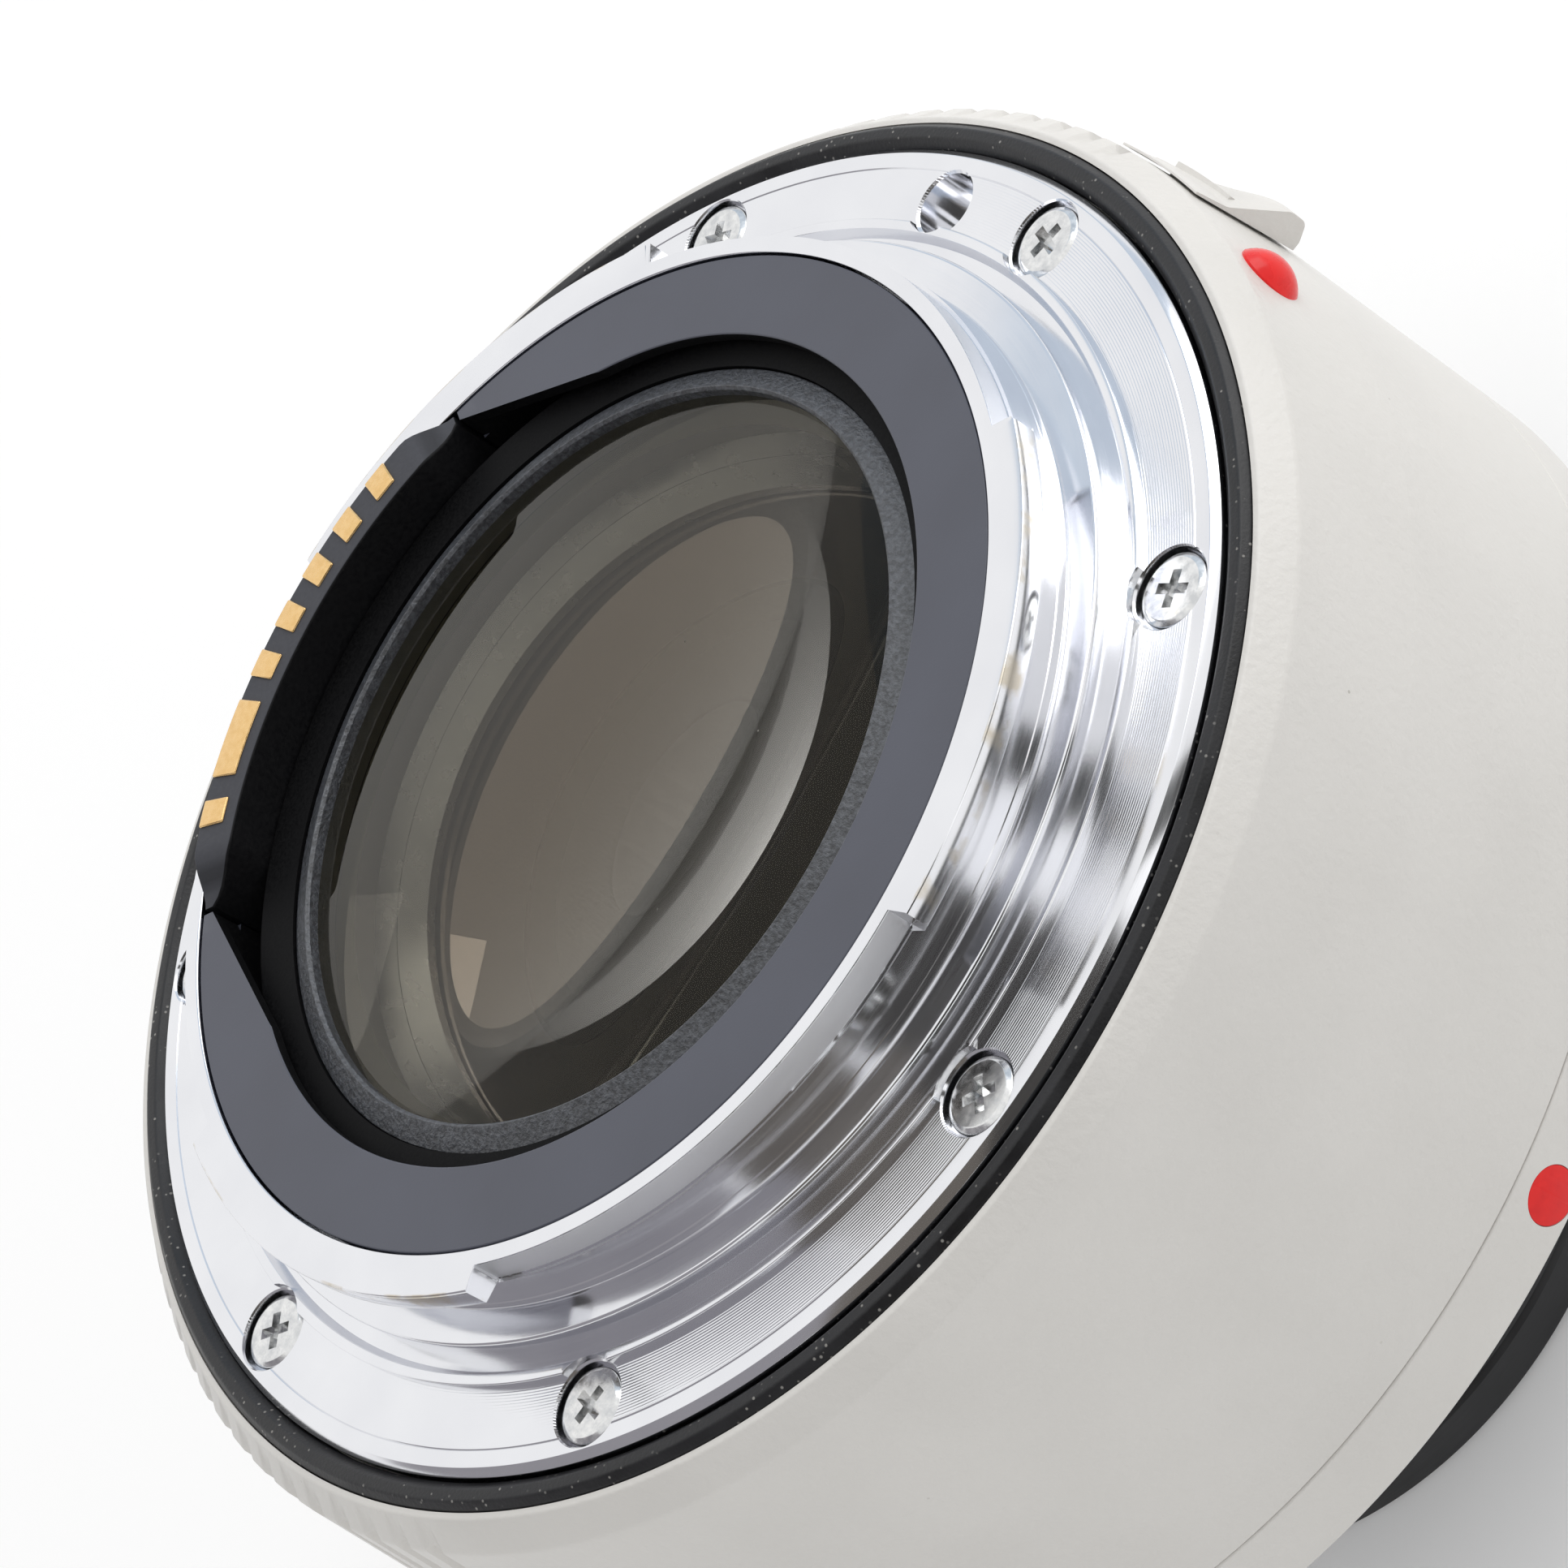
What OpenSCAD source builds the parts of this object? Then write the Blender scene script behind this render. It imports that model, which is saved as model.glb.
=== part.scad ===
// Camera teleconverter that fits between a bayonet lens and a camera body.
// The optical axis is Z. The camera side is up, and the origin is on the axis in the rear flange plane.
// The contact blocks point along minus X, and the front index dot along plus X.

/* [Body] */
// Radius of the outer shell from its crease to the front
shell_r = 36; // [35.6:0.1:38]
// How much slimmer the shell is just below its rear rounding
rear_drop = 0.6; // [0.4:0.1:0.8]
// Rounding of the shell's rear edge
shell_round = 1.3; // [0.6:0.1:1.3]
// Depth of the shell's rear face below the flange plane
shell_face_depth = 0.55; // [0.3:0.05:0.8]
// Depth of the crease in the shell below the flange plane
crease_depth = 9; // [8.8:0.1:12]
// Wall of the shell between its lands
shell_wall = 2; // [1.6:0.1:2.6]
// Distance from the rear flange plane to the front mount face
mount_length = 27.2; // [26.6:0.1:30]
// Length of the front ring behind the front mount face
front_ring_len = 3.9; // [3.5:0.1:5]
// Gap in the seam between the shell and the front ring
seam_gap = 0.05; // [0.03:0.01:0.2]
// Width of the shell around the inner mount barrel
shell_w = 3.7; // [3.6:0.05:3.8]
// Width of the wall of the mount barrel
barrel_w = 5.3; // [5.1:0.05:5.4]
// Width of the lips that clamp the shell and the front ring
lip_w = 1; // [0.7:0.05:1.05]
// Thickness of the clamped lips
lip_t = 0.8; // [0.6:0.05:1]

/* [Grip] */
// Number of grooves in each of the two grips
groove_count = 15; // [5:1:16]
// Angle between neighbouring grooves
groove_pitch = 3.6; // [3.2:0.1:4]
// Radius of each groove
groove_r = 0.55; // [0.3:0.05:0.7]
// Depth of each groove
groove_depth = 0.4; // [0.2:0.05:0.5]
// Angle of the first groove on each side
grip_start = 77.4; // [77:0.1:80]

/* [Rear mount] */
// How far the rear flange reaches past the mount barrel
flange_over = 0.15; // [0.1:0.01:0.2]
// Thickness of the rear flange
flange_t = 2.2; // [2:0.1:2.6]
// Bevel on the rim of the rear flange
flange_bevel = 0.35; // [0.1:0.05:0.5]
// Width of the rear flange around the spigot that centres the mount
flange_w = 5.45; // [5.35:0.05:5.6]
// Height of the spigot above the flange
spigot_h = 1.3; // [1:0.1:1.6]
// Distance from the spigot to the outside of the low ring around it
step_out = 1.5; // [1.4:0.05:1.6]
// Width of the top of the low ring
step_w = 0.5; // [0.3:0.05:0.6]
// Height of the low ring around the spigot
step_h = 0.45; // [0.2:0.05:0.7]
// Depth of the relief groove at the foot of the spigot
relief = 0.05; // [0.02:0.01:0.2]
// Width of the relief groove at the foot of the spigot
relief_w = 0.7; // [0.6:0.05:0.8]
// How much slimmer the neck under the bayonet tabs is than the spigot
neck_drop = 1.7; // [1.6:0.05:1.8]
// How far the bayonet tabs reach out from the neck
tab_reach = 1; // [0.9:0.05:1.2]
// Thickness of the bayonet tabs
tab_t = 1.35; // [1:0.05:1.6]
// Angle that each bayonet tab covers
tab_span = 53; // [40:1:58]
// Depth of the milled ledge between the tabs below their underside
mill_drop = 0.2; // [0:0.05:0.5]
// Wall left above the milled ledge between the tabs
mill_wall = 0.8; // [0.6:0.05:0.9]
// Height of the bayonet above the flange
bayonet_h = 5.2; // [5:0.1:5.6]
// Wall of the neck around the bore of the rear bayonet
neck_wall = 1; // [0.95:0.05:1.1]
// Width of the ledge inside the rear bayonet
ledge_w = 1.1; // [1:0.05:1.3]
// Height of the ledge inside the rear bayonet above the flange plane
ledge_h = 1; // [0.6:0.1:1.6]
// Thickness of the shim under the rear bayonet
shim_t = 0.2; // [0.1:0.05:0.4]
// Distance from the rim of the rear flange to the middle of the mount screws
screw_inset = 2.45; // [2.4:0.05:2.5]
// Angle between the rear mount screws
screw_pitch = 45; // [44.5:0.5:46]
// Radius of the mount screw heads
screw_head_r = 1.75; // [1.5:0.05:1.8]
// Height of the mount screw heads
screw_head_h = 0.8; // [0.6:0.05:1]
// Radius of the mount screw shanks
screw_r = 0.9; // [0.7:0.05:0.95]
// Length of the mount screw shanks below the head
screw_len = 5; // [4:0.1:5.4]
// Radius of the locking hole in the rear flange
lock_hole_r = 1.6; // [1.4:0.05:1.7]
// Depth of the locking hole in the rear flange
lock_hole_depth = 1.6; // [1.2:0.1:1.8]

/* [Seal] */
// Width of the rubber seal around the rear flange
seal_w = 1.35; // [1.2:0.05:1.4]
// Depth of the groove that the seal sits in
seal_groove_depth = 1.7; // [1.5:0.05:1.9]
// Depth of the seal's crest below the flange plane
seal_crest_depth = 0.15; // [0:0.05:0.4]

/* [Rear cover] */
// Width of the rear cover around its round opening
cover_w = 4.1; // [3.7:0.05:4.3]
// Thickness of the rear cover
cover_t = 0.6; // [0.4:0.05:0.7]
// Wall of the skirt under the rear cover
cover_skirt = 0.85; // [0.6:0.05:1]
// Depth of the cover's face below the bayonet's top face
cover_sink = 0.1; // [0:0.05:0.3]
// Half angle between the ends of the straight sides of the opening
opening_start = 56.3; // [54:0.1:58]
// Room between the contact block's notch and the straight sides of the opening
opening_room = 1.05; // [0.8:0.05:1.4]

/* [Contacts] */
// Angle between contact places
contact_pitch = 6.27; // [5.8:0.01:6.3]
// Distance from the bore of the rear bayonet to the middle of the contacts
contact_inset = 1.1; // [1.05:0.05:1.2]
// Length of each contact pad along the radius
pad_len = 1.65; // [1.2:0.05:1.7]
// Width of each contact pad
pad_w = 1.35; // [1.2:0.05:1.9]
// Thickness of the contact pads above their block
pad_t = 0.12; // [0.05:0.01:0.2]
// Height of the rear contact block above the flange plane
contact_h = 6.3; // [6:0.1:6.6]
// Half angle that each contact block covers
block_half = 25.8; // [25.5:0.1:26]
// Half angle that the block's head covers, above the bayonet's ledge
head_half = 32.6; // [31:0.1:33.5]
// Thickness of the foot under the rear contact block
foot_t = 1.65; // [1.4:0.05:2]
// Thickness of the foot behind the front contact block
front_foot_t = 1.2; // [1.1:0.05:1.6]
// Height of the front contact block above the throat's floor
front_block_h = 0.5; // [0.3:0.05:0.8]
// Radius of the sprung contact pins
pin_r = 0.45; // [0.35:0.05:0.45]
// Width of the shoulder on each contact pin
pin_shoulder_w = 0.25; // [0.2:0.05:0.25]
// Thickness of the shoulder on each contact pin
pin_shoulder_t = 0.6; // [0.4:0.05:0.7]
// Radius of the tail of each contact pin
pin_tail_r = 0.3; // [0.2:0.05:0.3]
// Travel of the sprung contact pins
pin_travel = 0.9; // [0.6:0.05:1]
// How far a mounted lens presses the contact pins in
pin_preload = 0.6; // [0.4:0.05:0.8]

/* [Front mount] */
// Thickness of the front mount ring
front_flange_t = 2; // [1.8:0.1:2.4]
// Depth of the front throat below the front mount face
throat_depth = 7.2; // [7:0.1:8]
// Room around the tabs of a mounted lens
tab_room = 1; // [0.8:0.05:1.1]
// Depth of the bayonet lugs below the front mount face
lug_depth = 1.4; // [1.35:0.05:1.7]
// Thickness of the bayonet lugs
lug_t = 1.5; // [1.2:0.05:1.7]
// Room between the lugs and the neck of a mounted lens
lug_room = 0.3; // [0.2:0.05:0.5]
// Angle that each bayonet lug covers
lug_span = 50; // [36:1:56]
// Thickness of the leaf springs behind the lugs
leaf_t = 0.3; // [0.2:0.05:0.5]
// Angle by which the leaf springs are shorter than the lugs at each end
leaf_short = 3; // [1:0.5:6]
// Wall of the collar behind the front mount ring
collar_w = 0.95; // [0.7:0.05:0.95]
// Length of the collar behind the leaf springs
collar_end = 0.5; // [0.3:0.05:0.7]
// Thickness of the web that carries the lens cells
web_t = 2.5; // [2.2:0.1:3]

/* [Release lever] */
// Angle of the lever around the barrel
lever_angle = 74.7; // [74:0.1:75.4]
// Half angle that the lever covers
lever_half = 5.2; // [5:0.1:5.4]
// Depth of the lever's rear end below the flange plane
lever_rear_depth = 1.9; // [1.9:0.1:2.2]
// Length of the lever
lever_len = 7.2; // [6.8:0.1:7.4]
// Height of the lever's crest above the shell
lever_rise = 1.5; // [1.2:0.1:2]
// Length of the flat on the lever's crest
crest_len = 1.3; // [0.5:0.1:1.5]
// Length of the slope in front of the lever's crest
crest_slope = 0.8; // [0.5:0.1:1.2]
// Thickness of the lever at its rear end
lever_thin = 0.45; // [0.3:0.05:0.6]
// Gap between the lever and the shell
lever_gap = 0.15; // [0.1:0.05:0.3]
// Length of the stem that joins the lever to its slide
stem_len = 2.6; // [2.2:0.1:2.8]
// Half angle that the stem covers
stem_half = 3.6; // [3.3:0.1:3.8]
// Half angle between the two studs in the stem
stud_half = 2; // [1.8:0.1:2.2]
// Travel of the lever towards the camera side
lever_travel = 1.6; // [1.5:0.1:1.7]
// Length of the slide under the shell
slide_len = 9; // [8.5:0.1:10]
// Height of the carriage on the slide
carriage_h = 2.8; // [2.4:0.1:3.2]
// Half angle that the carriage covers
carriage_half = 4; // [3.5:0.1:4.3]
// Radius of the locking pin
lock_pin_r = 1.3; // [1.1:0.05:1.3]
// Length of the locking pin in front of the front mount face
lock_pin_out = 1.4; // [1:0.1:1.4]
// Distance from the rim of the rear flange to the middle of the locking pin and hole
lock_inset = 2.7; // [2.65:0.05:2.75]
// Length of the lock spring at rest
lock_spring_len = 6.5; // [5.5:0.1:7]
// Outer radius of the lock spring
lock_spring_r = 1.2; // [1:0.05:1.2]
// Wire of the lock spring
lock_wire = 0.45; // [0.3:0.05:0.5]

/* [Optics] */
// Length of the front lens cell in front of the front mount face
nose_len = 19.8; // [18:0.1:22]
// How much slimmer the front lens cell is than the rear one
nose_drop = 1.8; // [1.7:0.1:2.4]
// Wall of the front lens cell behind its seat
nose_wall = 2.6; // [2.2:0.1:4]
// Bevel on the rim of the front lens cell
nose_bevel = 0.5; // [0.2:0.1:0.8]
// Distance from the rear lens cell to the bore of the rear bayonet
cell_room = 2.9; // [2.85:0.05:3]
// How much slimmer the waist of the rear lens cell is than its rim
waist_drop = 2; // [1:0.1:2.5]
// Depth of the shoulder above the waist, below the flange plane
waist_depth = 3.4; // [3:0.1:4]
// Step between the rear lens cell and the bore of the web
cell_step = 0.2; // [0.1:0.05:0.3]
// Room between the flange on the rear lens cell and the mount barrel
cell_flange_room = 1; // [0.8:0.1:1.2]
// Thickness of the flange on the rear lens cell
cell_flange_t = 2; // [1.6:0.1:2.2]
// Depth of the joint between the two lens cells
cell_joint = 1.6; // [1.2:0.1:1.7]
// Wall of the rear lens cell around the rear lens group
cell_wall = 3.2; // [3.1:0.05:3.4]
// Height of the rear lens vertex above the flange plane
rear_lens_z = 5.3; // [5.1:0.05:5.4]
// How much smaller the middle lens group is than the rear one, in radius
mid_step = 2.3; // [2.2:0.05:2.6]
// How much smaller the front lens group is than the middle one, in radius
front_step = 1.6; // [1.3:0.05:1.9]
// How far the rear retaining ring reaches over the rear lens
ring_lip = 0.35; // [0.3:0.05:0.6]
// How far the rear retaining ring reaches past the rear lens
ring_land = 0.9; // [0.7:0.05:1.1]
// Thickness of the rear retaining ring
rear_ring_t = 0.7; // [0.6:0.05:0.8]
// Thickness of the middle retaining ring
mid_ring_t = 1.7; // [1.3:0.1:2]
// Depth of the front retaining ring inside the front lens cell
front_ring_sink = 0.6; // [0.3:0.1:0.8]
// Depth of the seat of the front retaining ring
front_ring_seat = 2.4; // [2.1:0.1:2.6]

/* [Electronics] */
// Thickness of the circuit board
board_t = 0.8; // [0.6:0.1:1]
// Depth of the circuit board's top below the flange plane
board_depth = 7.5; // [7.3:0.1:7.7]
// Half angle that the circuit board covers
board_half = 95; // [80:1:110]
// Height of the chips on the circuit board
chip_h = 1.1; // [0.8:0.1:1.4]
// Half angle that the flexible cable covers
flex_half = 9; // [6:0.5:12]
// Thickness of the flexible cable
flex_t = 0.15; // [0.1:0.01:0.2]

/* [Index marks] */
// Angle of the rear index bead around the barrel
bead_angle = 60; // [57:0.1:61]
// Depth of the rear index bead below the flange plane
bead_depth = 4.3; // [3.6:0.1:5]
// Radius of the rear index bead
bead_r = 1.6; // [1.4:0.05:2]
// Height of the rear index bead above the shell
bead_rise = 0.9; // [0.5:0.05:1.2]
// Depth of the bead's seat in the shell
bead_sunk = 0.9; // [0.7:0.05:1]
// Radius of the front index dot
dot_r = 1.35; // [1:0.05:1.5]
// Depth of the paint in the front index dot
dot_t = 0.3; // [0.1:0.05:0.5]
// Height of the front index dot above the front mount face
dot_h = 1.65; // [1.6:0.05:1.8]

/* [Hidden] */
$fn = 96;
// Facets of the wide spheres and of the shallow dot, in previews only
fine_fn = 360;
// Running clearance of pins in their bores
run_fit = 0.05;
// Clearance between fixed pieces that slip together
slip = 0.1;
// Clearance around pieces that move inside the barrel
room = 0.2;
// Gap left for the cement between lens elements
cement = 0.02;
// Overlap that lets cuts pass through a face
cut = 1;
// Angle that the contact blocks point to
block_angle = 180;
// Number of contact places in a row, one node for each pin
contact_count = 8;
// Angle of the locking pin and its hole
lock_angle = 90;
// Centre angles of the three bayonet tabs, and of the three lugs
tab_angles = [20.5, -92.2, 144];
// First mount screw on the rear flange, and the number of screws
screw_start = 120;
screw_count = 7;
// Angles of the screws in the front mount ring
front_screw_angles = [45, 135, 225, 315];

// Radii of the body and the mount, from the outside in
shell_rear_r = shell_r - rear_drop;
barrel_r = shell_r - shell_w;
inner_r = barrel_r - barrel_w;
flange_r = barrel_r + flange_over;
screw_circle_r = flange_r - screw_inset;
lock_circle_r = flange_r - lock_inset;
spigot_r = flange_r - flange_w;
step_r = spigot_r + step_out;
neck_r = spigot_r - neck_drop;
tab_r = neck_r + tab_reach;
bayonet_bore_r = neck_r - neck_wall;
ledge_bore_r = bayonet_bore_r - ledge_w;
contact_circle_r = bayonet_bore_r - contact_inset;
cover_opening_r = bayonet_bore_r - cover_w;

// Radii of the lens cells and the lenses, from the outside in
rear_cell_r = bayonet_bore_r - cell_room;
waist_r = rear_cell_r - waist_drop;
cell_flange_r = inner_r - cell_flange_room;
nose_r = rear_cell_r - nose_drop;
rear_lens_r = rear_cell_r - cell_wall;
rear_ring_r = rear_lens_r + ring_land;
rear_clear_r = rear_lens_r - ring_lip;
mid_lens_r = rear_lens_r - mid_step;
front_lens_r = mid_lens_r - front_step;

// Heights along the axis
z_front = -mount_length;
z_under = -flange_t;
z_barrel = z_under - shim_t;
z_lip_rear = z_under - lip_t;
z_seat = z_front + front_flange_t;
z_lip_front = z_seat + lip_t;
z_floor = z_front + throat_depth;
z_web = z_floor + web_t;
z_seam = z_front + front_ring_len;
z_crease = -crease_depth;
z_tip = z_front - nose_len;

// Shell and seal
shell_bore = barrel_r + slip;
lip_r = barrel_r - lip_w;
land = 1.6;
seal_in_r = flange_r + slip;
seal_out_r = seal_in_r + seal_w;
shell_face_r = seal_out_r + run_fit;
edge_round = min(shell_round, shell_rear_r - shell_face_r - run_fit);
round_z = -shell_face_depth - edge_round;
taper = atan((shell_r - shell_rear_r) / (round_z - z_crease));

// Front throat
throat_r = spigot_r + run_fit;
cavity_r = tab_r + tab_room;
lug_r = neck_r + lug_room;
collar_r = throat_r + collar_w;
collar_z = z_front + lug_depth + lug_t + leaf_t + collar_end;
web_bore = rear_cell_r - cell_step;

// Rear cover and rear contact block
cover_top = bayonet_h - cover_sink;
cover_out_r = bayonet_bore_r - slip;
block_in_r = rear_cell_r + room;
block_out_r = bayonet_bore_r - room;
block_notch = block_half + 1;
head_notch = head_half + 0.6;
foot_r = inner_r - 2 * room;
foot_half = block_half - 2;
z_foot = z_under - foot_t;

// Small screws in the contact blocks and in the circuit board
small_r = 0.6;
small_head_r = 1.1;
small_head_h = 0.7;
small_len = 2.4;
small_hole = small_r + run_fit;
small_blind = small_len + 2 * slip;
block_screw_circle = (ledge_bore_r + inner_r) / 2 + 2 * room;
block_screw_half = foot_half - 4;

// Front contact block and its pins
pin_wall = 1.1;
pin_head_r = pin_r + pin_shoulder_w;
front_block_z = z_floor - front_block_h;
front_back_z = z_web + front_foot_t;
front_in_r = block_in_r + room;
front_out_r = contact_circle_r + pin_head_r + pin_wall;
front_foot_half = block_half + 6.2;
front_foot_r = front_out_r + front_foot_t;
front_screw_half = block_half + 3.4;
pin_tip_z = z_front + contact_h + pad_t - pin_preload;
pin_chamber_z = front_block_z + pin_wall;
pin_shoulder_z = pin_chamber_z + run_fit;
pin_spring_z = pin_shoulder_z + pin_shoulder_t;
pin_chamber_end = front_back_z - pin_wall / 2;
pin_tail_end = front_back_z - pin_travel;

// Release lever, its slide and the locking pin
pocket_wall = 0.45;
pocket_r = screw_circle_r + screw_r + pocket_wall;
slide_r0 = pocket_r + 0.75 * room;
slide_r1 = barrel_r - slip;
z_slide_rear = z_lip_rear - lever_travel - room;
z_slide_front = z_slide_rear - slide_len;
slide_start = lever_angle - stem_half;
slide_over = 0.5;
slide_end = lock_angle + carriage_half + slide_over;
slide_mid = (slide_start + slide_end) / 2;
slide_half = (slide_end - slide_start) / 2;
side_room = 0.9;
z_carriage = z_slide_front + carriage_h;
carriage_r = lock_circle_r - lock_pin_r;
z_pocket = z_slide_front - 2 * room;
z_spring_seat = z_carriage + lock_spring_len;
z_stem_rear = z_slide_rear - 2 * room;
z_stem_front = z_stem_rear - stem_len;
slot_half = stem_half + 0.4;
stud_r = 0.45;
stud_head_r = 0.8;
stud_head_t = 0.35;
stud_len = 2.4;
lock_stud_r = 0.8;
lock_stud_len = 2;

// How far each lens surface bulges from its rim to its vertex, from the front of each group
front_bulge = [1.67, 1.29, 2.09];
mid_bulge = [1.6, 2.6, 3.44, 1.6];
rear_bulge = [2.1, 3.1, 1.76];

// Rim thickness of the thick elements, and middle thickness of the thin ones
front_edge = 1.04;
mid_edge = 1.46;
rear_edge = 1.64;
thin_t = 1.5;
meniscus_t = 2;

// Depth of the front lens inside the nose, and of the middle group below the top of the web
front_lens_sink = 1.8;
mid_lens_sink = 1;

// Lens surfaces from the front: vertex height, and radius of curvature.
// A positive radius has its centre on the front side of the vertex.
s1 = [z_tip + front_lens_sink, -bulge_r(front_lens_r, front_bulge[0])];
s2 = [s1[0] + front_bulge[0] + front_edge + front_bulge[1], bulge_r(front_lens_r, front_bulge[1])];
s3 = [s2[0] + thin_t, -bulge_r(front_lens_r, front_bulge[2])];
s4 = [z_web - mid_lens_sink, -bulge_r(mid_lens_r, mid_bulge[0])];
s5 = [s4[0] + thin_t, -bulge_r(mid_lens_r, mid_bulge[1])];
s6 = [s5[0] + mid_bulge[1] + mid_edge + mid_bulge[2], bulge_r(mid_lens_r, mid_bulge[2])];
s7 = [s6[0] + thin_t, -bulge_r(mid_lens_r, mid_bulge[3])];
s10 = [rear_lens_z, bulge_r(rear_lens_r, rear_bulge[2])];
s9 = [rear_lens_z - rear_bulge[2] - rear_edge - rear_bulge[1], -bulge_r(rear_lens_r, rear_bulge[1])];
s8 = [s9[0] - meniscus_t, -bulge_r(rear_lens_r, rear_bulge[0])];

// Seats, rings and screws of the lens cells
rear_seat_w = 1.3;
seat_w = 1;
rear_seat_r = rear_lens_r - rear_seat_w;
mid_seat_r = mid_lens_r - seat_w;
front_seat_r = front_lens_r - seat_w;
seat_t = 1.8;
rear_seat_z = surface_z(s8, rear_seat_r) - run_fit;
mid_seat_z = surface_z(s4, mid_seat_r) - run_fit;
front_seat_z = surface_z(s3, front_lens_r) + run_fit;
rear_ring_z = surface_z(s10, rear_clear_r) + run_fit;
rear_cell_top = rear_ring_z + rear_ring_t / 2;
z_cell_front = z_floor - room;
spigot_cell_r = mid_lens_r + cell_joint;
mid_ring_z = surface_z(s7, mid_lens_r) + run_fit;
front_clear_r = front_seat_r + slip;
front_ring_r = front_lens_r + cell_wall;
front_ring_z = z_tip + front_ring_sink;
front_lip_z = surface_z(s1, front_clear_r) - run_fit;
z_ring_seat = z_tip + front_ring_seat;
cell_screw_r = 0.8;
cell_screw_head_r = 1.4;
cell_screw_head_h = 1.1;
cell_screw_len = 3.6;
cell_screw_angles = [-60, -20, 20, 60];
cell_screw_circle = (web_bore + cell_flange_r) / 2 + 2 * room;

// Circuit board
board_z = -board_depth;
board_low = board_z - board_t;
board_out_r = inner_r - slip;
board_in_r = block_in_r + 3 * room;
board_ledge_t = 1;
board_ledge_r = inner_r - board_ledge_t;
boss_r = 1.5;
boss_h = 3;
boss_circle = inner_r - boss_r + slip;
boss_angles = [110, 250];
chip_sizes = [[3, 4.6], [2.6, 3], [3, 6.4], [2.4, 2.4]];
chip_angles = [128, 146, 214, 232];
flex_r = contact_circle_r + 1.2;
flex_gap = 0.01;

// Height of a lens surface at a distance r from the axis
function surface_z(s, r) = s[0] - sign(s[1]) * (abs(s[1]) - sqrt(s[1] * s[1] - r * r));

// Radius of the sphere that bulges by h over a disc of radius r
function bulge_r(r, h) = (r * r + h * h) / (2 * h);

// A lens surface moved along the axis
function shifted(s, d) = [s[0] + d, s[1]];

// A point on a circle around c
function on_circle(c, r, a) = c + r * [cos(a), sin(a)];

// Points of an arc around c, from angle a to angle b, in n steps
function arc(c, r, a, b, n) = [for (i = [0:n]) on_circle(c, r, a + (b - a) * i / n)];

// Angle of contact place i
function contact_angle(i) = block_angle + (i - (contact_count - 1) / 2) * contact_pitch;

// Radius of the shell's outside at height z, below its rear rounding
function shell_at(z) =
    let (share = min(1, max(0, (round_z - z) / (round_z - z_crease))))
    shell_rear_r + (shell_r - shell_rear_r) * share;

// A ring between two radii and two heights
module ring(r0, r1, z0, z1) {
    rotate_extrude() translate([r0, z0]) square([r1 - r0, z1 - z0]);
}

// A part of a ring, centred on an angle
module sector(r0, r1, z0, z1, angle, half) {
    rotate([0, 0, angle - half]) rotate_extrude(angle = 2 * half)
        translate([r0, z0]) square([r1 - r0, z1 - z0]);
}

// Children moved out from the axis to a circle, at an angle
module at_polar(circle, angle) {
    rotate([0, 0, angle]) translate([circle, 0, 0]) children();
}

// An upright cylinder from z0 to z1 at a radius and an angle from the axis
module post(r, z0, z1, circle, angle) {
    at_polar(circle, angle) translate([0, 0, z0]) cylinder(r = r, h = z1 - z0);
}

// Children placed at the rear mount screws
module at_rear_screws() {
    for (i = [0:screw_count - 1]) at_polar(screw_circle_r, screw_start - i * screw_pitch) children();
}

// Children placed at the front mount screws
module at_front_screws() {
    for (a = front_screw_angles) at_polar(screw_circle_r, a) children();
}

// Children placed at the two screws of the rear contact block
module at_block_screws() {
    for (s = [-1, 1]) at_polar(block_screw_circle, block_angle + s * block_screw_half) children();
}

// Children placed at the two screws of the front contact block
module at_front_block_screws() {
    for (s = [-1, 1]) at_polar(contact_circle_r, block_angle + s * front_screw_half) children();
}

// Children placed at the screws of the rear lens cell
module at_cell_screws() {
    for (a = cell_screw_angles) at_polar(cell_screw_circle, a) children();
}

// Children placed at the bosses under the circuit board
module at_bosses() {
    for (a = boss_angles) at_polar(boss_circle, a) children();
}

// An upright cylinder between two heights
module upright(r, z0, z1) {
    translate([0, 0, z0]) cylinder(r = r, h = z1 - z0);
}

// A cross-head screw whose head top lies at z and whose shank points down
module cross_screw(z, head_r, head_h, shank_r, shank_len) {
    recess_w = head_r * 0.34;
    recess_l = head_r * 1.25;
    recess_d = head_h * 0.6;
    difference() {
        union() {
            upright(head_r, z - head_h, z);
            upright(shank_r, z - head_h - shank_len, z - head_h / 2);
        }
        for (a = [20, 110]) rotate([0, 0, a]) translate([-recess_l / 2, -recess_w / 2, z - recess_d])
            cube([recess_l, recess_w, recess_d + cut]);
    }
}

// A small cross-head screw
module small_screw(z) {
    cross_screw(z, small_head_r, small_head_h, small_r, small_len);
}

// A lens element between a rear surface and a front surface
module element(r, rear, front) {
    z_hi = max(rear[0], surface_z(rear, r));
    z_lo = min(front[0], surface_z(front, r));
    difference() {
        intersection() {
            upright(r, z_lo - cut, z_hi + cut);
            if (rear[1] > 0) surface_ball(rear);
            if (front[1] < 0) surface_ball(front);
        }
        if (rear[1] < 0) surface_ball(rear);
        if (front[1] > 0) surface_ball(front);
    }
}

// The sphere that a lens surface lies on
module surface_ball(s) {
    translate([0, 0, s[0] - s[1]]) sphere(r = abs(s[1]), $fn = fine_fn);
}

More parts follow.
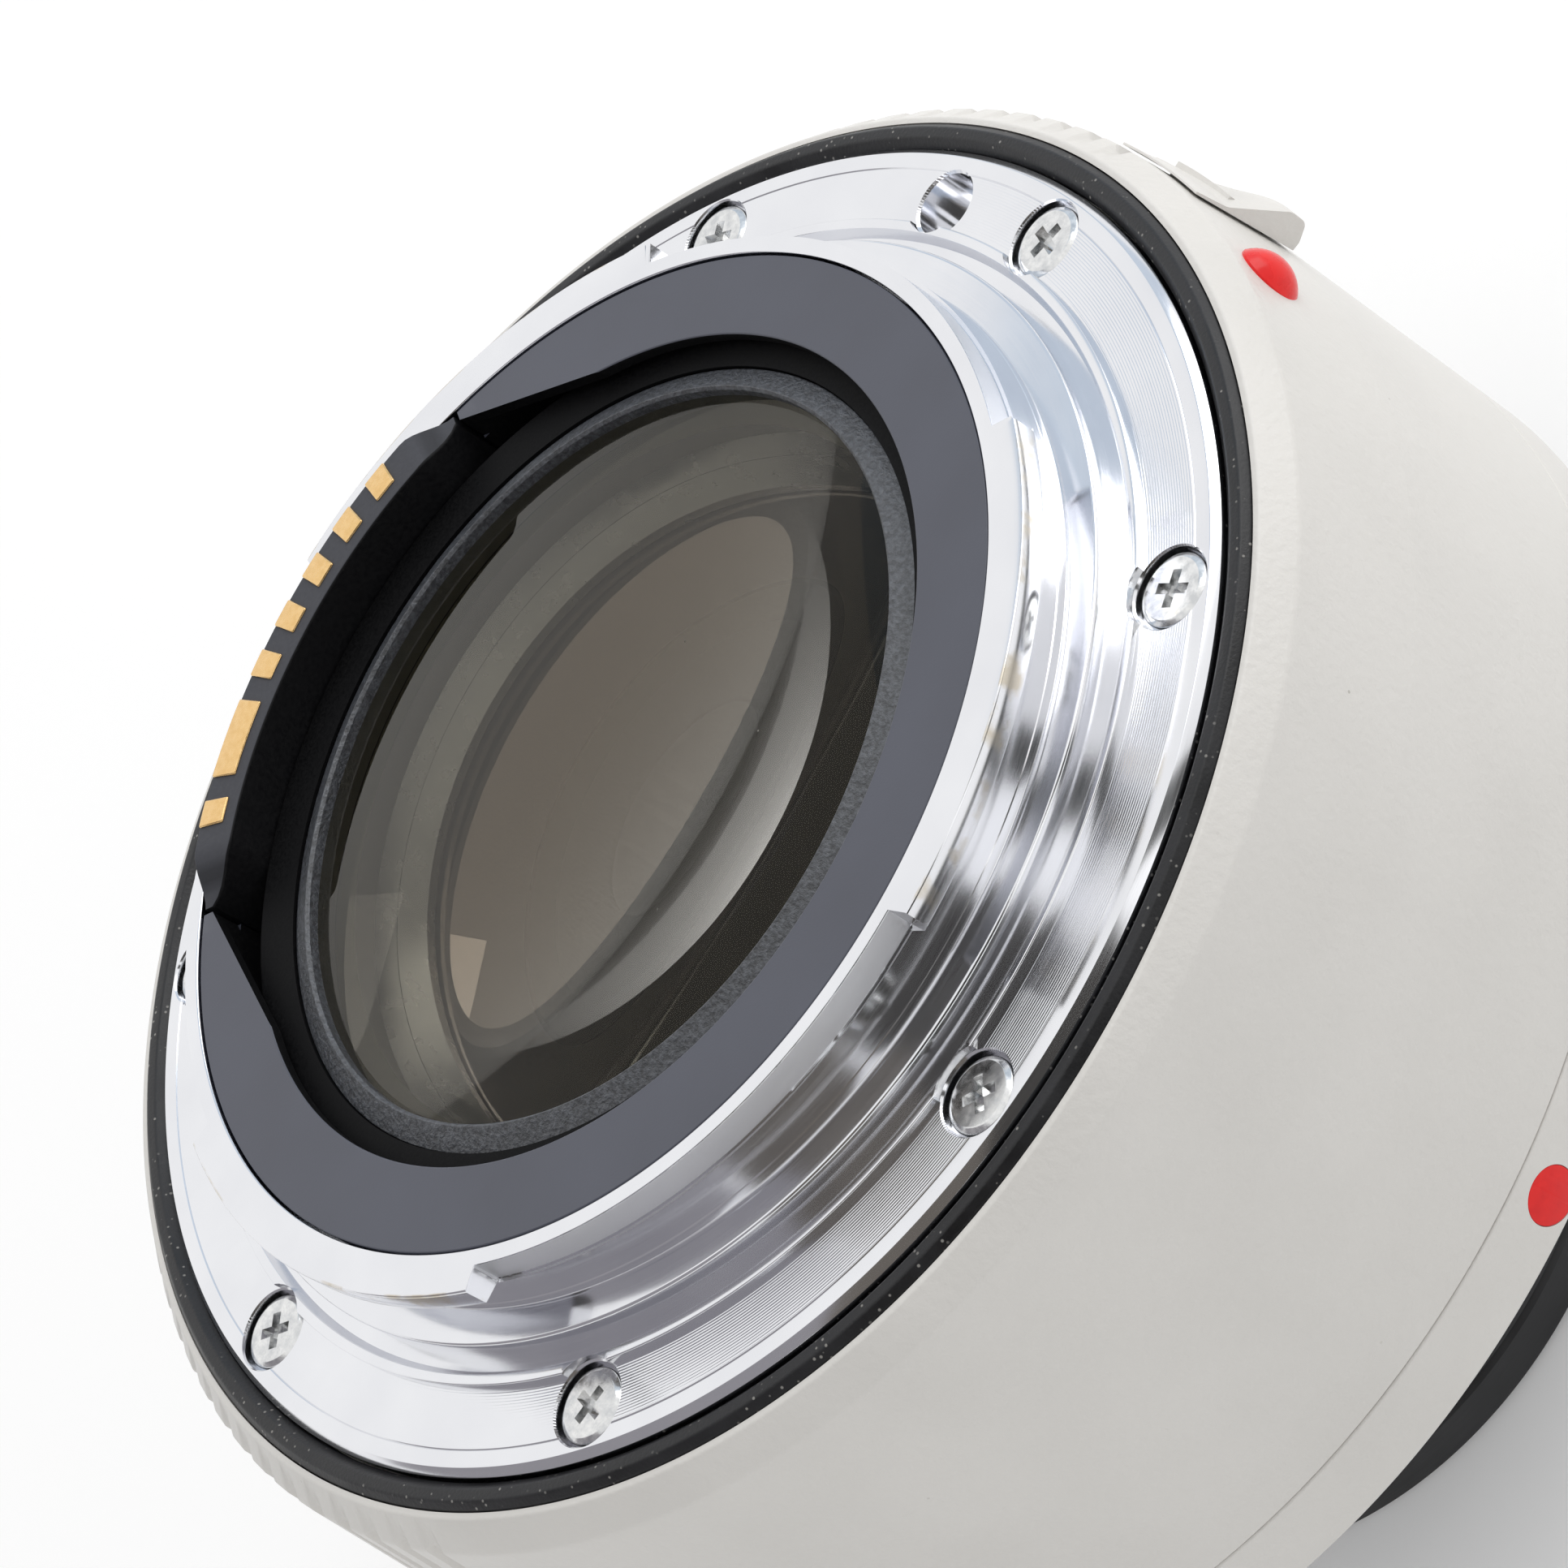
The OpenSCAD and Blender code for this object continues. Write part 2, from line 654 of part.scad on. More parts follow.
module rear_bayonet() {
    z_pocket_floor = -screw_head_h - run_fit;
    color("silver") difference() {
        rotate_extrude() polygon([
            [ledge_bore_r, z_under],
            [flange_r, z_under],
            [flange_r, -flange_bevel],
            [flange_r - flange_bevel, 0],
            [step_r, 0],
            [step_r, step_h],
            [step_r - step_w, step_h],
            [spigot_r + relief_w, -relief],
            [spigot_r, -relief],
            [spigot_r, spigot_h],
            [neck_r, spigot_h],
            [neck_r, bayonet_h - tab_t],
            [tab_r, bayonet_h - tab_t],
            [tab_r, bayonet_h],
            [bayonet_bore_r, bayonet_h],
            [bayonet_bore_r, ledge_h],
            [ledge_bore_r, ledge_h]]);
        tab_gaps();
        at_rear_screws() {
            upright(screw_head_r + 2 * slip, z_pocket_floor, step_h + cut);
            upright(screw_r + slip, z_under - cut, cut);
        }
        post(lock_hole_r, -lock_hole_depth, step_h + cut, lock_circle_r, lock_angle);
        sector(ledge_bore_r - cut, bayonet_bore_r, z_under - cut, ledge_h + cut, block_angle, block_notch);
        at_block_screws() upright(small_hole, z_under - cut, z_foot + small_blind);
    }
}

// The milled gaps between the bayonet tabs
module tab_gaps() {
    z_ledge = bayonet_h - tab_t - mill_drop;
    order = [tab_angles[1], tab_angles[0], tab_angles[2], tab_angles[1] + 360];
    for (i = [0:2]) {
        mid = (order[i] + order[i + 1]) / 2;
        half = (order[i + 1] - order[i] - tab_span) / 2;
        sector(bayonet_bore_r + mill_wall, tab_r + cut, z_ledge, bayonet_h + cut, mid, half);
    }
}

module rear_mount_screws() {
    color("gainsboro") at_rear_screws() cross_screw(0, screw_head_r, screw_head_h, screw_r, screw_len);
}

module rear_mount_shim() {
    color("darkgray") difference() {
        ring(inner_r + slip, lip_r - slip, z_barrel, z_under);
        at_rear_screws() upright(screw_r + slip, z_barrel - cut, z_under + cut);
    }
}

module mount_seal() {
    half = seal_w / 2;
    crest = [seal_in_r + half, -seal_crest_depth - half];
    base = [[seal_in_r, -seal_groove_depth], [seal_out_r, -seal_groove_depth]];
    color([0.05, 0.05, 0.06]) rotate_extrude() polygon(concat(base, arc(crest, half, 0, 180, 16)));
}

module rear_cover() {
    x_wide = -cover_opening_r * cos(opening_start);
    y_wide = cover_opening_r * sin(opening_start);
    x_narrow = -bayonet_bore_r * cos(block_notch);
    y_narrow = bayonet_bore_r * sin(block_notch) + opening_room;
    z_plate = cover_top - cover_t;
    color([0.33, 0.33, 0.36]) difference() {
        rotate_extrude() polygon([
            [cover_opening_r, z_plate],
            [cover_out_r - cover_skirt, z_plate],
            [cover_out_r - cover_skirt, ledge_h],
            [cover_out_r, ledge_h],
            [cover_out_r, cover_top],
            [cover_opening_r, cover_top]]);
        translate([0, 0, z_plate - cut]) linear_extrude(cover_t + 2 * cut) polygon([
            [x_wide, y_wide],
            [x_narrow, y_narrow],
            [x_narrow, -y_narrow],
            [x_wide, -y_wide]]);
        sector(cover_opening_r, bayonet_bore_r, ledge_h - cut, cover_top + cut, block_angle, head_notch);
    }
}

module rear_contact_block() {
    color([0.08, 0.08, 0.09]) difference() {
        union() {
            sector(block_in_r, block_out_r, ledge_h + slip, contact_h, block_angle, head_half);
            sector(block_in_r + slip, block_out_r - slip, z_foot, ledge_h + room, block_angle, block_half);
            sector(block_in_r + slip, foot_r, z_foot, z_under, block_angle, foot_half);
        }
        at_block_screws() upright(small_hole, z_foot - cut, z_under + cut);
    }
}

// A contact pad that reaches from one contact place to another
module contact_pad(first, last) {
    mid = (contact_angle(first) + contact_angle(last)) / 2;
    half = asin(pad_w / 2 / contact_circle_r) + (last - first) * contact_pitch / 2;
    r0 = contact_circle_r - pad_len / 2;
    sector(r0, r0 + pad_len, contact_h, contact_h + pad_t, mid, half);
}

module rear_contact_pads() {
    joined = contact_count - 3;
    color("gold") {
        for (i = [0:joined - 1]) contact_pad(i, i);
        contact_pad(joined, joined + 1);
        contact_pad(contact_count - 1, contact_count - 1);
    }
}

module contact_block_screws() {
    color("silver") at_block_screws() mirror([0, 0, 1]) small_screw(small_head_h - z_foot);
}

module rear_shell() {
    z_face = -shell_face_depth;
    z_low = z_seam + seam_gap;
    corner = [shell_rear_r - edge_round, round_z];
    color([0.86, 0.85, 0.82]) difference() {
        rotate_extrude() polygon(concat(
            [[shell_r, z_low], [shell_r, z_crease]],
            arc(corner, edge_round, 0, 90, 12),
            [[shell_face_r, z_face],
            [shell_face_r, -seal_groove_depth],
            [flange_r + run_fit, -seal_groove_depth],
            [flange_r + run_fit, z_under],
            [lip_r, z_under],
            [lip_r, z_lip_rear],
            [shell_bore, z_lip_rear],
            [shell_bore, z_lip_rear - land],
            [shell_r - shell_wall, z_lip_rear - 2 * land],
            [shell_r - shell_wall, z_low + land],
            [shell_bore, z_low + land],
            [shell_bore, z_low]]));
        for (s = [-1, 1], i = [0:groove_count - 1]) groove(s * (grip_start + i * groove_pitch));
        sector(lip_r, shell_r + cut, z_stem_front - room, z_stem_rear + lever_travel + room, lever_angle,
            slot_half);
        bead_place() cylinder(r = bead_r + run_fit, h = bead_rise + bead_sunk);
    }
}

// A round groove along the taper of the shell, from its crease out over its rear edge
module groove(angle) {
    at_polar(shell_r - groove_depth + groove_r, angle) translate([0, 0, z_crease]) rotate([0, -taper, 0])
        cylinder(r = groove_r, h = crease_depth + cut);
}

// A frame that points out of the shell at the bead, with its origin at the bottom of the bead's seat
module bead_place() {
    at_polar(shell_at(-bead_depth) - bead_sunk, bead_angle) translate([0, 0, -bead_depth])
        rotate([0, 90, 0]) children();
}

module rear_index_bead() {
    h = bead_rise + bead_sunk - run_fit;
    dome = (bead_r * bead_r + bead_rise * bead_rise) / (2 * bead_rise);
    color("red") bead_place() translate([0, 0, run_fit]) intersection() {
        cylinder(r = bead_r, h = h);
        translate([0, 0, h - dome]) sphere(r = dome);
    }
}

module front_ring() {
    color([0.86, 0.85, 0.82]) difference() {
        rotate_extrude() polygon([
            [shell_r, z_front],
            [shell_r, z_seam],
            [shell_bore, z_seam],
            [shell_bore, z_lip_front],
            [lip_r, z_lip_front],
            [lip_r, z_seat],
            [shell_bore, z_seat],
            [shell_bore, z_front]]);
        dot_disc(dot_r + run_fit);
    }
}

// A disc that reaches out through the front ring at the index dot
module dot_disc(r) {
    translate([shell_r - dot_t, 0, z_front + dot_h]) rotate([0, 90, 0]) cylinder(r = r, h = dot_t + cut);
}

module front_index_dot() {
    color("red") intersection() {
        dot_disc(dot_r);
        ring(shell_r - 2 * dot_t, shell_r, z_front, z_seam, $fn = fine_fn);
    }
}

module mount_barrel() {
    land_r = lip_r - run_fit;
    ledge_low = board_low - board_ledge_t;
    color([0.2, 0.2, 0.21]) difference() {
        union() {
            rotate_extrude() polygon([
                [inner_r, z_barrel],
                [land_r, z_barrel],
                [land_r, z_lip_rear],
                [barrel_r, z_lip_rear],
                [barrel_r, z_lip_front],
                [land_r, z_lip_front],
                [land_r, z_seat],
                [collar_r + run_fit, z_seat],
                [collar_r + run_fit, collar_z + slip],
                [cavity_r, collar_z + slip],
                [cavity_r, z_floor],
                [web_bore, z_floor],
                [web_bore, z_web],
                [inner_r, z_web],
                [inner_r, ledge_low],
                [board_ledge_r, ledge_low],
                [board_ledge_r, board_low],
                [inner_r, board_low]]);
            at_bosses() upright(boss_r, board_low - boss_h, board_low - run_fit);
        }
        at_rear_screws() upright(screw_r + run_fit, -screw_head_h - screw_len - room, z_barrel + cut);
        at_front_screws()
            upright(screw_r + run_fit, z_seat - cut, z_front + screw_head_h + screw_len + room);
        at_front_block_screws() upright(small_hole, front_back_z - small_blind, z_web + cut);
        at_bosses() upright(small_hole, board_z - small_blind, board_low + cut);
        at_cell_screws() upright(cell_screw_r + run_fit, z_floor + room, z_web + cut);
        slide_pocket();
        sector(front_in_r - slip, front_out_r + slip, z_floor - cut, z_web + cut, block_angle,
            block_half + room);
    }
}

// The space for the slide, its carriage, the lock spring and the locking pin
module slide_pocket() {
    sector(pocket_r, barrel_r + cut, z_pocket, z_lip_rear + cut, slide_mid, slide_half + side_room);
    sector(carriage_r - room, pocket_r + room, z_pocket, z_spring_seat, lock_angle,
        carriage_half + side_room / 2);
    post(lock_pin_r + run_fit, z_seat - cut, z_pocket + cut, lock_circle_r, lock_angle);
}

module front_bayonet() {
    z_lug = z_front + lug_depth;
    color("silver") difference() {
        union() {
            ring(throat_r, shell_bore - slip, z_front, z_seat);
            ring(throat_r, collar_r, z_front, collar_z);
            for (a = tab_angles)
                sector(lug_r, throat_r + collar_w / 2, z_lug, z_lug + lug_t, a, lug_span / 2);
        }
        at_front_screws() {
            upright(screw_r + slip, z_front - cut, z_seat + cut);
            upright(screw_head_r + 2 * slip, z_front - cut, z_front + screw_head_h + run_fit);
        }
        post(lock_pin_r + run_fit, z_front - cut, z_seat + cut, lock_circle_r, lock_angle);
    }
}

module front_mount_screws() {
    color("gainsboro") at_front_screws() mirror([0, 0, 1])
        cross_screw(mount_length, screw_head_r, screw_head_h, screw_r, screw_len);
}

module lug_springs() {
    z0 = z_front + lug_depth + lug_t;
    half = lug_span / 2 - leaf_short;
    color("lightsteelblue") for (a = tab_angles)
        sector(lug_r + room, throat_r - slip, z0, z0 + leaf_t, a, half);
}

module front_contact_block() {
    color([0.08, 0.08, 0.09]) difference() {
        union() {
            sector(front_in_r, front_out_r, front_block_z, front_back_z, block_angle, block_half);
            sector(front_in_r + room, front_foot_r, z_web, front_back_z, block_angle, front_foot_half);
        }
        for (i = [0:contact_count - 1]) at_polar(contact_circle_r, contact_angle(i)) {
            upright(pin_r + run_fit, front_block_z - cut, pin_spring_z);
            upright(pin_head_r + run_fit, pin_chamber_z, pin_chamber_end);
            upright(pin_tail_r + run_fit, front_block_z, front_back_z + cut);
        }
        at_front_block_screws() upright(small_hole, z_web - cut, front_back_z + cut);
    }
}

module front_contact_screws() {
    color("silver") at_front_block_screws() small_screw(front_back_z + small_head_h);
}

// A sprung contact pin with a round tip, a shoulder and a tail
module contact_pin(i) {
    color("gold") at_polar(contact_circle_r, contact_angle(i)) {
        translate([0, 0, pin_tip_z + pin_r]) sphere(r = pin_r);
        upright(pin_r, pin_tip_z + pin_r, pin_spring_z);
        upright(pin_head_r, pin_shoulder_z, pin_spring_z);
        upright(pin_tail_r, pin_shoulder_z, pin_tail_end);
    }
}

module contact_pin_springs() {
    color("lightsteelblue") for (i = [0:contact_count - 1]) at_polar(contact_circle_r, contact_angle(i))
        ring(pin_tail_r + run_fit, pin_head_r, pin_spring_z, pin_chamber_end);
}

module release_lever() {
    z_rear = -lever_rear_depth;
    z_end = z_rear - lever_len;
    z_crest = z_end + crest_slope;
    crest_r = shell_r + lever_rise;
    color([0.84, 0.83, 0.8]) difference() {
        union() {
            rotate([0, 0, lever_angle - lever_half]) rotate_extrude(angle = 2 * lever_half) polygon([
                [shell_at(z_rear) + lever_gap, z_rear],
                [shell_at(z_rear) + lever_gap + lever_thin, z_rear],
                [crest_r, z_crest + crest_len],
                [crest_r, z_crest],
                [shell_r + lever_gap + lever_thin, z_end],
                [shell_at(z_end) + lever_gap, z_end]]);
            sector(slide_r1 + run_fit, shell_r + lever_gap + room, z_stem_front, z_stem_rear, lever_angle,
                stem_half);
        }
        at_studs() cylinder(r = stud_r + run_fit, h = stud_len + 2 * slip);
    }
}

// Children placed at the two studs that join the lever to its slide, pointing outwards
module at_studs() {
    for (s = [-1, 1]) at_polar(slide_r0 + slip, lever_angle + s * stud_half)
        translate([0, 0, (z_stem_front + z_stem_rear) / 2]) rotate([0, 90, 0]) children();
}

module lever_slide() {
    color("slategray") difference() {
        union() {
            sector(slide_r0, slide_r1, z_slide_front, z_slide_rear, slide_mid, slide_half);
            sector(carriage_r, slide_r0 + room, z_slide_front, z_carriage, lock_angle, carriage_half);
        }
        at_studs() {
            translate([0, 0, -cut]) cylinder(r = stud_head_r + run_fit, h = cut + stud_head_t);
            cylinder(r = stud_r + run_fit, h = stud_len);
        }
        post(lock_stud_r + run_fit, z_slide_front - cut, z_slide_front + lock_stud_len + slip, lock_circle_r,
            lock_angle);
    }
}

module lever_screws() {
    color("silver") at_studs() {
        cylinder(r = stud_head_r, h = stud_head_t);
        cylinder(r = stud_r, h = stud_len);
    }
}

module lock_pin() {
    color("silver") {
        post(lock_pin_r, z_front - lock_pin_out, z_slide_front, lock_circle_r, lock_angle);
        post(lock_stud_r, z_slide_front - cut, z_slide_front + lock_stud_len, lock_circle_r, lock_angle);
    }
}

module lock_spring() {
    color("lightsteelblue") at_polar(lock_circle_r, lock_angle)
        ring(lock_spring_r - lock_wire, lock_spring_r, z_carriage, z_spring_seat);
}

module rear_lens_cell() {
    rear_bore = rear_lens_r + slip;
    mid_bore = mid_lens_r + slip;
    z_step = mid_ring_z + mid_ring_t;
    z_flange = z_web + cell_flange_t;
    z_joint = z_cell_front + cell_joint;
    color([0.1, 0.1, 0.11]) difference() {
        rotate_extrude() polygon([
            [rear_cell_r, rear_cell_top],
            [rear_ring_r + run_fit, rear_cell_top],
            [rear_ring_r + run_fit, rear_ring_z],
            [rear_bore, rear_ring_z],
            [rear_bore, rear_seat_z],
            [rear_seat_r, rear_seat_z],
            [rear_seat_r, z_step],
            [mid_bore, z_step],
            [mid_bore, mid_seat_z],
            [mid_seat_r, mid_seat_z],
            [mid_seat_r, z_joint],
            [spigot_cell_r + run_fit, z_joint],
            [spigot_cell_r + run_fit, z_cell_front],
            [web_bore - run_fit, z_cell_front],
            [web_bore - run_fit, z_web],
            [cell_flange_r, z_web],
            [cell_flange_r, z_flange],
            [waist_r, z_flange],
            [waist_r, -waist_depth],
            [rear_cell_r, -waist_depth]]);
        sector(rear_cell_r, cell_flange_r + cut, z_web - cut, z_flange + cut, block_angle,
            front_foot_half + 1);
        at_cell_screws() upright(cell_screw_r + slip, z_web - cut, z_flange + cut);
    }
}

module front_lens_cell() {
    front_bore = front_lens_r + slip;
    hollow_r = nose_r - nose_wall;
    color([0.1, 0.1, 0.11]) rotate_extrude() polygon([
        [nose_r, z_tip + nose_bevel],
        [nose_r, z_cell_front],
        [spigot_cell_r, z_cell_front],
        [spigot_cell_r, z_cell_front + cell_joint],
        [mid_seat_r, z_cell_front + cell_joint],
        [mid_seat_r, z_cell_front],
        [hollow_r, z_cell_front - seat_t],
        [hollow_r, front_seat_z + 2 * seat_t],
        [front_seat_r, front_seat_z + seat_t],
        [front_seat_r, front_seat_z],
        [front_bore, front_seat_z],
        [front_bore, z_ring_seat],
        [front_ring_r + run_fit, z_ring_seat],
        [front_ring_r + run_fit, z_tip],
        [nose_r - nose_bevel, z_tip]]);
}

module cell_screws() {
    z_head = z_web + cell_flange_t + cell_screw_head_h;
    color("silver") at_cell_screws()
        cross_screw(z_head, cell_screw_head_r, cell_screw_head_h, cell_screw_r, cell_screw_len);
}

module rear_retainer() {
    color([0.15, 0.15, 0.17]) ring(rear_clear_r, rear_ring_r, rear_ring_z, rear_ring_z + rear_ring_t);
}

module mid_retainer() {
    color([0.12, 0.12, 0.13]) ring(mid_seat_r, mid_lens_r + run_fit, mid_ring_z, mid_ring_z + mid_ring_t);
}

module front_retainer() {
    lip_out_r = front_lens_r + run_fit;
    color([0.12, 0.12, 0.13]) rotate_extrude() polygon([
        [front_clear_r, front_ring_z],
        [front_ring_r, front_ring_z],
        [front_ring_r, z_ring_seat],
        [lip_out_r, z_ring_seat],
        [lip_out_r, front_lip_z],
        [front_clear_r, front_lip_z]]);
}

// The seven lens elements, numbered from the front
module lens(i) {
    half = cement / 2;
    color([0.6, 0.65, 0.6, 0.5]) {
        if (i == 1) element(front_lens_r, shifted(s2, -half), s1);
        if (i == 2) element(front_lens_r, s3, shifted(s2, half));
        if (i == 3) element(mid_lens_r, shifted(s5, -half), s4);
        if (i == 4) element(mid_lens_r, shifted(s6, -half), shifted(s5, half));
        if (i == 5) element(mid_lens_r, s7, shifted(s6, half));
        if (i == 6) element(rear_lens_r, shifted(s9, -half), s8);
        if (i == 7) element(rear_lens_r, s10, shifted(s9, half));
    }
}

module circuit_board() {
    color("darkgreen") difference() {
        sector(board_in_r, board_out_r, board_low, board_z, block_angle, board_half);
        at_bosses() upright(small_hole, board_low - cut, board_z + cut);
    }
}

module board_chips() {
    mid_r = (board_in_r + board_out_r) / 2;
    color([0.1, 0.1, 0.1]) for (i = [0:len(chip_sizes) - 1]) rotate([0, 0, chip_angles[i]])
        translate([mid_r - chip_sizes[i][0] / 2, -chip_sizes[i][1] / 2, board_z])
            cube([chip_sizes[i][0], chip_sizes[i][1], chip_h]);
}

module board_screws() {
    color("silver") at_bosses() small_screw(board_z + small_head_h);
}

module flex_cable() {
    color("orange") {
        flex_strip(board_z, z_foot);
        flex_strip(front_back_z, board_low);
    }
}

// A strip of the flexible cable between two heights
module flex_strip(z0, z1) {
    sector(flex_r, flex_r + flex_t, z0 + flex_gap, z1 - flex_gap, block_angle, flex_half);
}

rear_bayonet();
rear_mount_screws();
rear_mount_shim();
mount_seal();
rear_cover();
rear_contact_block();
rear_contact_pads();
contact_block_screws();
rear_shell();
rear_index_bead();
front_ring();
front_index_dot();
mount_barrel();
front_bayonet();
front_mount_screws();
lug_springs();
front_contact_block();
front_contact_screws();
contact_pin_springs();
release_lever();
lever_slide();
lever_screws();
lock_pin();
lock_spring();
rear_lens_cell();
front_lens_cell();
cell_screws();
rear_retainer();
mid_retainer();
front_retainer();
circuit_board();
board_chips();
board_screws();
flex_cable();
lens(1);  // lens_1
lens(2);  // lens_2
lens(3);  // lens_3
lens(4);  // lens_4
lens(5);  // lens_5
lens(6);  // lens_6
lens(7);  // lens_7
contact_pin(0);  // contact_pin_1
contact_pin(1);  // contact_pin_2
contact_pin(2);  // contact_pin_3
contact_pin(3);  // contact_pin_4
contact_pin(4);  // contact_pin_5
contact_pin(5);  // contact_pin_6
contact_pin(6);  // contact_pin_7
contact_pin(7);  // contact_pin_8
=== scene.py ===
import math

import bmesh
import bpy
from mathutils import Matrix, Vector


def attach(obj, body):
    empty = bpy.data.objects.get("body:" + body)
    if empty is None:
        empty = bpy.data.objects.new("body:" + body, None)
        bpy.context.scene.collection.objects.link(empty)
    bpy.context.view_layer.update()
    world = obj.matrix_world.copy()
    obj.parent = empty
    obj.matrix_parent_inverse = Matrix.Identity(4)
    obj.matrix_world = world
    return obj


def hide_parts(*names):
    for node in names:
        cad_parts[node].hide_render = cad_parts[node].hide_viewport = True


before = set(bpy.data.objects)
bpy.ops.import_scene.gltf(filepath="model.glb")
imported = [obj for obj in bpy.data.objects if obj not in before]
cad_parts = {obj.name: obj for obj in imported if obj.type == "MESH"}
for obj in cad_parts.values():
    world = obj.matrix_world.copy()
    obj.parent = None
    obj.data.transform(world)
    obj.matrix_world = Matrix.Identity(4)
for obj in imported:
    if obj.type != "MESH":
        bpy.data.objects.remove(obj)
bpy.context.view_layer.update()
mm = 0.001
mergeWithin = 1e-7
print("frame loaded")


# hand tools that every piece is made with

def letGo():
    if bpy.context.object and bpy.context.object.mode != "OBJECT":
        bpy.ops.object.mode_set(mode="OBJECT")
    bpy.ops.object.select_all(action="DESELECT")


def takeUp(piece):
    letGo()
    piece.select_set(True)
    bpy.context.view_layer.objects.active = piece


def pickVerts(piece, members):
    # in edit mode, only these vertices end up selected
    bpy.ops.mesh.select_all(action="DESELECT")
    mesh = bmesh.from_edit_mesh(piece.data)
    mesh.verts.ensure_lookup_table()
    for i in members:
        mesh.verts[i].select_set(True)
    mesh.select_flush_mode()
    bmesh.update_edit_mesh(piece.data)


def roundedOutline(corners, segments):
    # a corner is (radius, height) or (radius, height, rounding), in millimetres
    points = []
    for i, corner in enumerate(corners):
        here = Vector(corner[:2])
        if len(corner) < 3:
            points.append(here)
            continue
        before = (Vector(corners[i - 1][:2]) - here).normalized()
        after = (Vector(corners[(i + 1) % len(corners)][:2]) - here).normalized()
        half = before.angle(after) / 2
        middle = here + (before + after).normalized() * corner[2] / math.sin(half)
        first = here + before * corner[2] / math.tan(half) - middle
        last = here + after * corner[2] / math.tan(half) - middle
        angle = math.atan2(first.y, first.x)
        turn = (math.atan2(last.y, last.x) - angle + math.pi) % (2 * math.pi) - math.pi
        for k in range(segments + 1):
            a = angle + turn * k / segments
            points.append(middle + corner[2] * Vector((math.cos(a), math.sin(a))))
    return points


def drawPath(name, spots, closed):
    # a plane is merged to one point, and the point is drawn out through the spots
    letGo()
    bpy.ops.mesh.primitive_plane_add(size=mm)
    piece = bpy.context.object
    piece.name = name
    bpy.ops.object.mode_set(mode="EDIT")
    bpy.ops.mesh.select_mode(type="VERT")
    bpy.ops.mesh.select_all(action="SELECT")
    bpy.ops.mesh.merge(type="CENTER")
    bpy.ops.transform.translate(value=spots[0])
    for a, b in zip(spots, spots[1:] + (spots[:1] if closed else [])):
        bpy.ops.mesh.extrude_region_move(TRANSFORM_OT_translate={"value": b - a})
    bpy.ops.mesh.select_all(action="SELECT")
    bpy.ops.mesh.remove_doubles(threshold=mergeWithin)
    return piece


def drawOutline(name, points, azimuth, closed):
    # an outline of (radius, height) points in the plane at that azimuth
    across = Vector((math.cos(azimuth), math.sin(azimuth), 0)) * mm
    return drawPath(name, [across * p.x + Vector((0, 0, p.y * mm)) for p in points], closed)


def turnRing(name, corners, steps, segments=4, closed=True):
    # an outline spun all the way round the optical axis
    piece = drawOutline(name, roundedOutline(corners, segments), 0, closed)
    bpy.ops.mesh.spin(steps=steps, angle=2 * math.pi, center=(0, 0, 0), axis=(0, 0, 1))
    bpy.ops.mesh.select_all(action="SELECT")
    bpy.ops.mesh.remove_doubles(threshold=mergeWithin)
    bpy.ops.mesh.normals_make_consistent(inside=False)
    bpy.ops.object.mode_set(mode="OBJECT")
    return piece


def turnSector(name, corners, middle, half, steps, segments=4):
    # a filled outline spun through part of a turn; the spin runs clockwise seen from the rear
    points = roundedOutline(corners, segments)
    piece = drawOutline(name, points, math.radians(middle + half), True)
    bpy.ops.mesh.edge_face_add()
    bpy.ops.mesh.spin(steps=steps, angle=math.radians(2 * half), center=(0, 0, 0), axis=(0, 0, 1))
    bpy.ops.mesh.select_all(action="SELECT")
    bpy.ops.mesh.remove_doubles(threshold=mergeWithin)
    bpy.ops.mesh.normals_make_consistent(inside=False)
    bpy.ops.object.mode_set(mode="OBJECT")
    return piece


def turnPost(name, corners, spot, steps=48, segments=4):
    # an outline on the axis, spun to a post, then moved to its spot
    piece = turnRing(name, corners, steps, segments, closed=False)
    takeUp(piece)
    bpy.ops.transform.translate(value=spot)
    bpy.ops.object.transform_apply(location=True, rotation=True, scale=True)
    return piece


def polarSpot(radius, azimuth, height=0):
    a = math.radians(azimuth)
    return Vector((radius * math.cos(a), radius * math.sin(a), height)) * mm


def carve(piece, cutters, operation="DIFFERENCE"):
    for cutter in cutters:
        takeUp(piece)
        bpy.ops.object.modifier_add(type="BOOLEAN")
        cut = piece.modifiers[-1]
        cut.operation = operation
        cut.solver = "EXACT"
        cut.object = cutter
        bpy.ops.object.modifier_apply(modifier=cut.name)
        bpy.data.objects.remove(cutter)


def weld(name, pieces):
    takeUp(pieces[0])
    for piece in pieces:
        piece.select_set(True)
    if len(pieces) > 1:
        bpy.ops.object.join()
    pieces[0].name = name
    return pieces[0]


def softenEdges(piece, width, segments=2, angle=35):
    takeUp(piece)
    bpy.ops.object.modifier_add(type="BEVEL")
    bevel = piece.modifiers[-1]
    bevel.width = width * mm
    bevel.segments = segments
    bevel.limit_method = "ANGLE"
    bevel.angle_limit = math.radians(angle)
    bpy.ops.object.modifier_apply(modifier=bevel.name)


def dress(piece, finish, body, nodes, angle=32):
    takeUp(piece)
    bpy.ops.object.transform_apply(location=True, rotation=True, scale=True)
    bpy.ops.object.shade_smooth_by_angle(angle=math.radians(angle))
    bpy.ops.object.modifier_add(type="WEIGHTED_NORMAL")
    piece.modifiers[-1].keep_sharp = True
    bpy.ops.object.modifier_apply(modifier=piece.modifiers[-1].name)
    piece.data.materials.clear()
    piece.data.materials.append(finish)
    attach(piece, body)
    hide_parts(*nodes)


# node helpers for the finishes

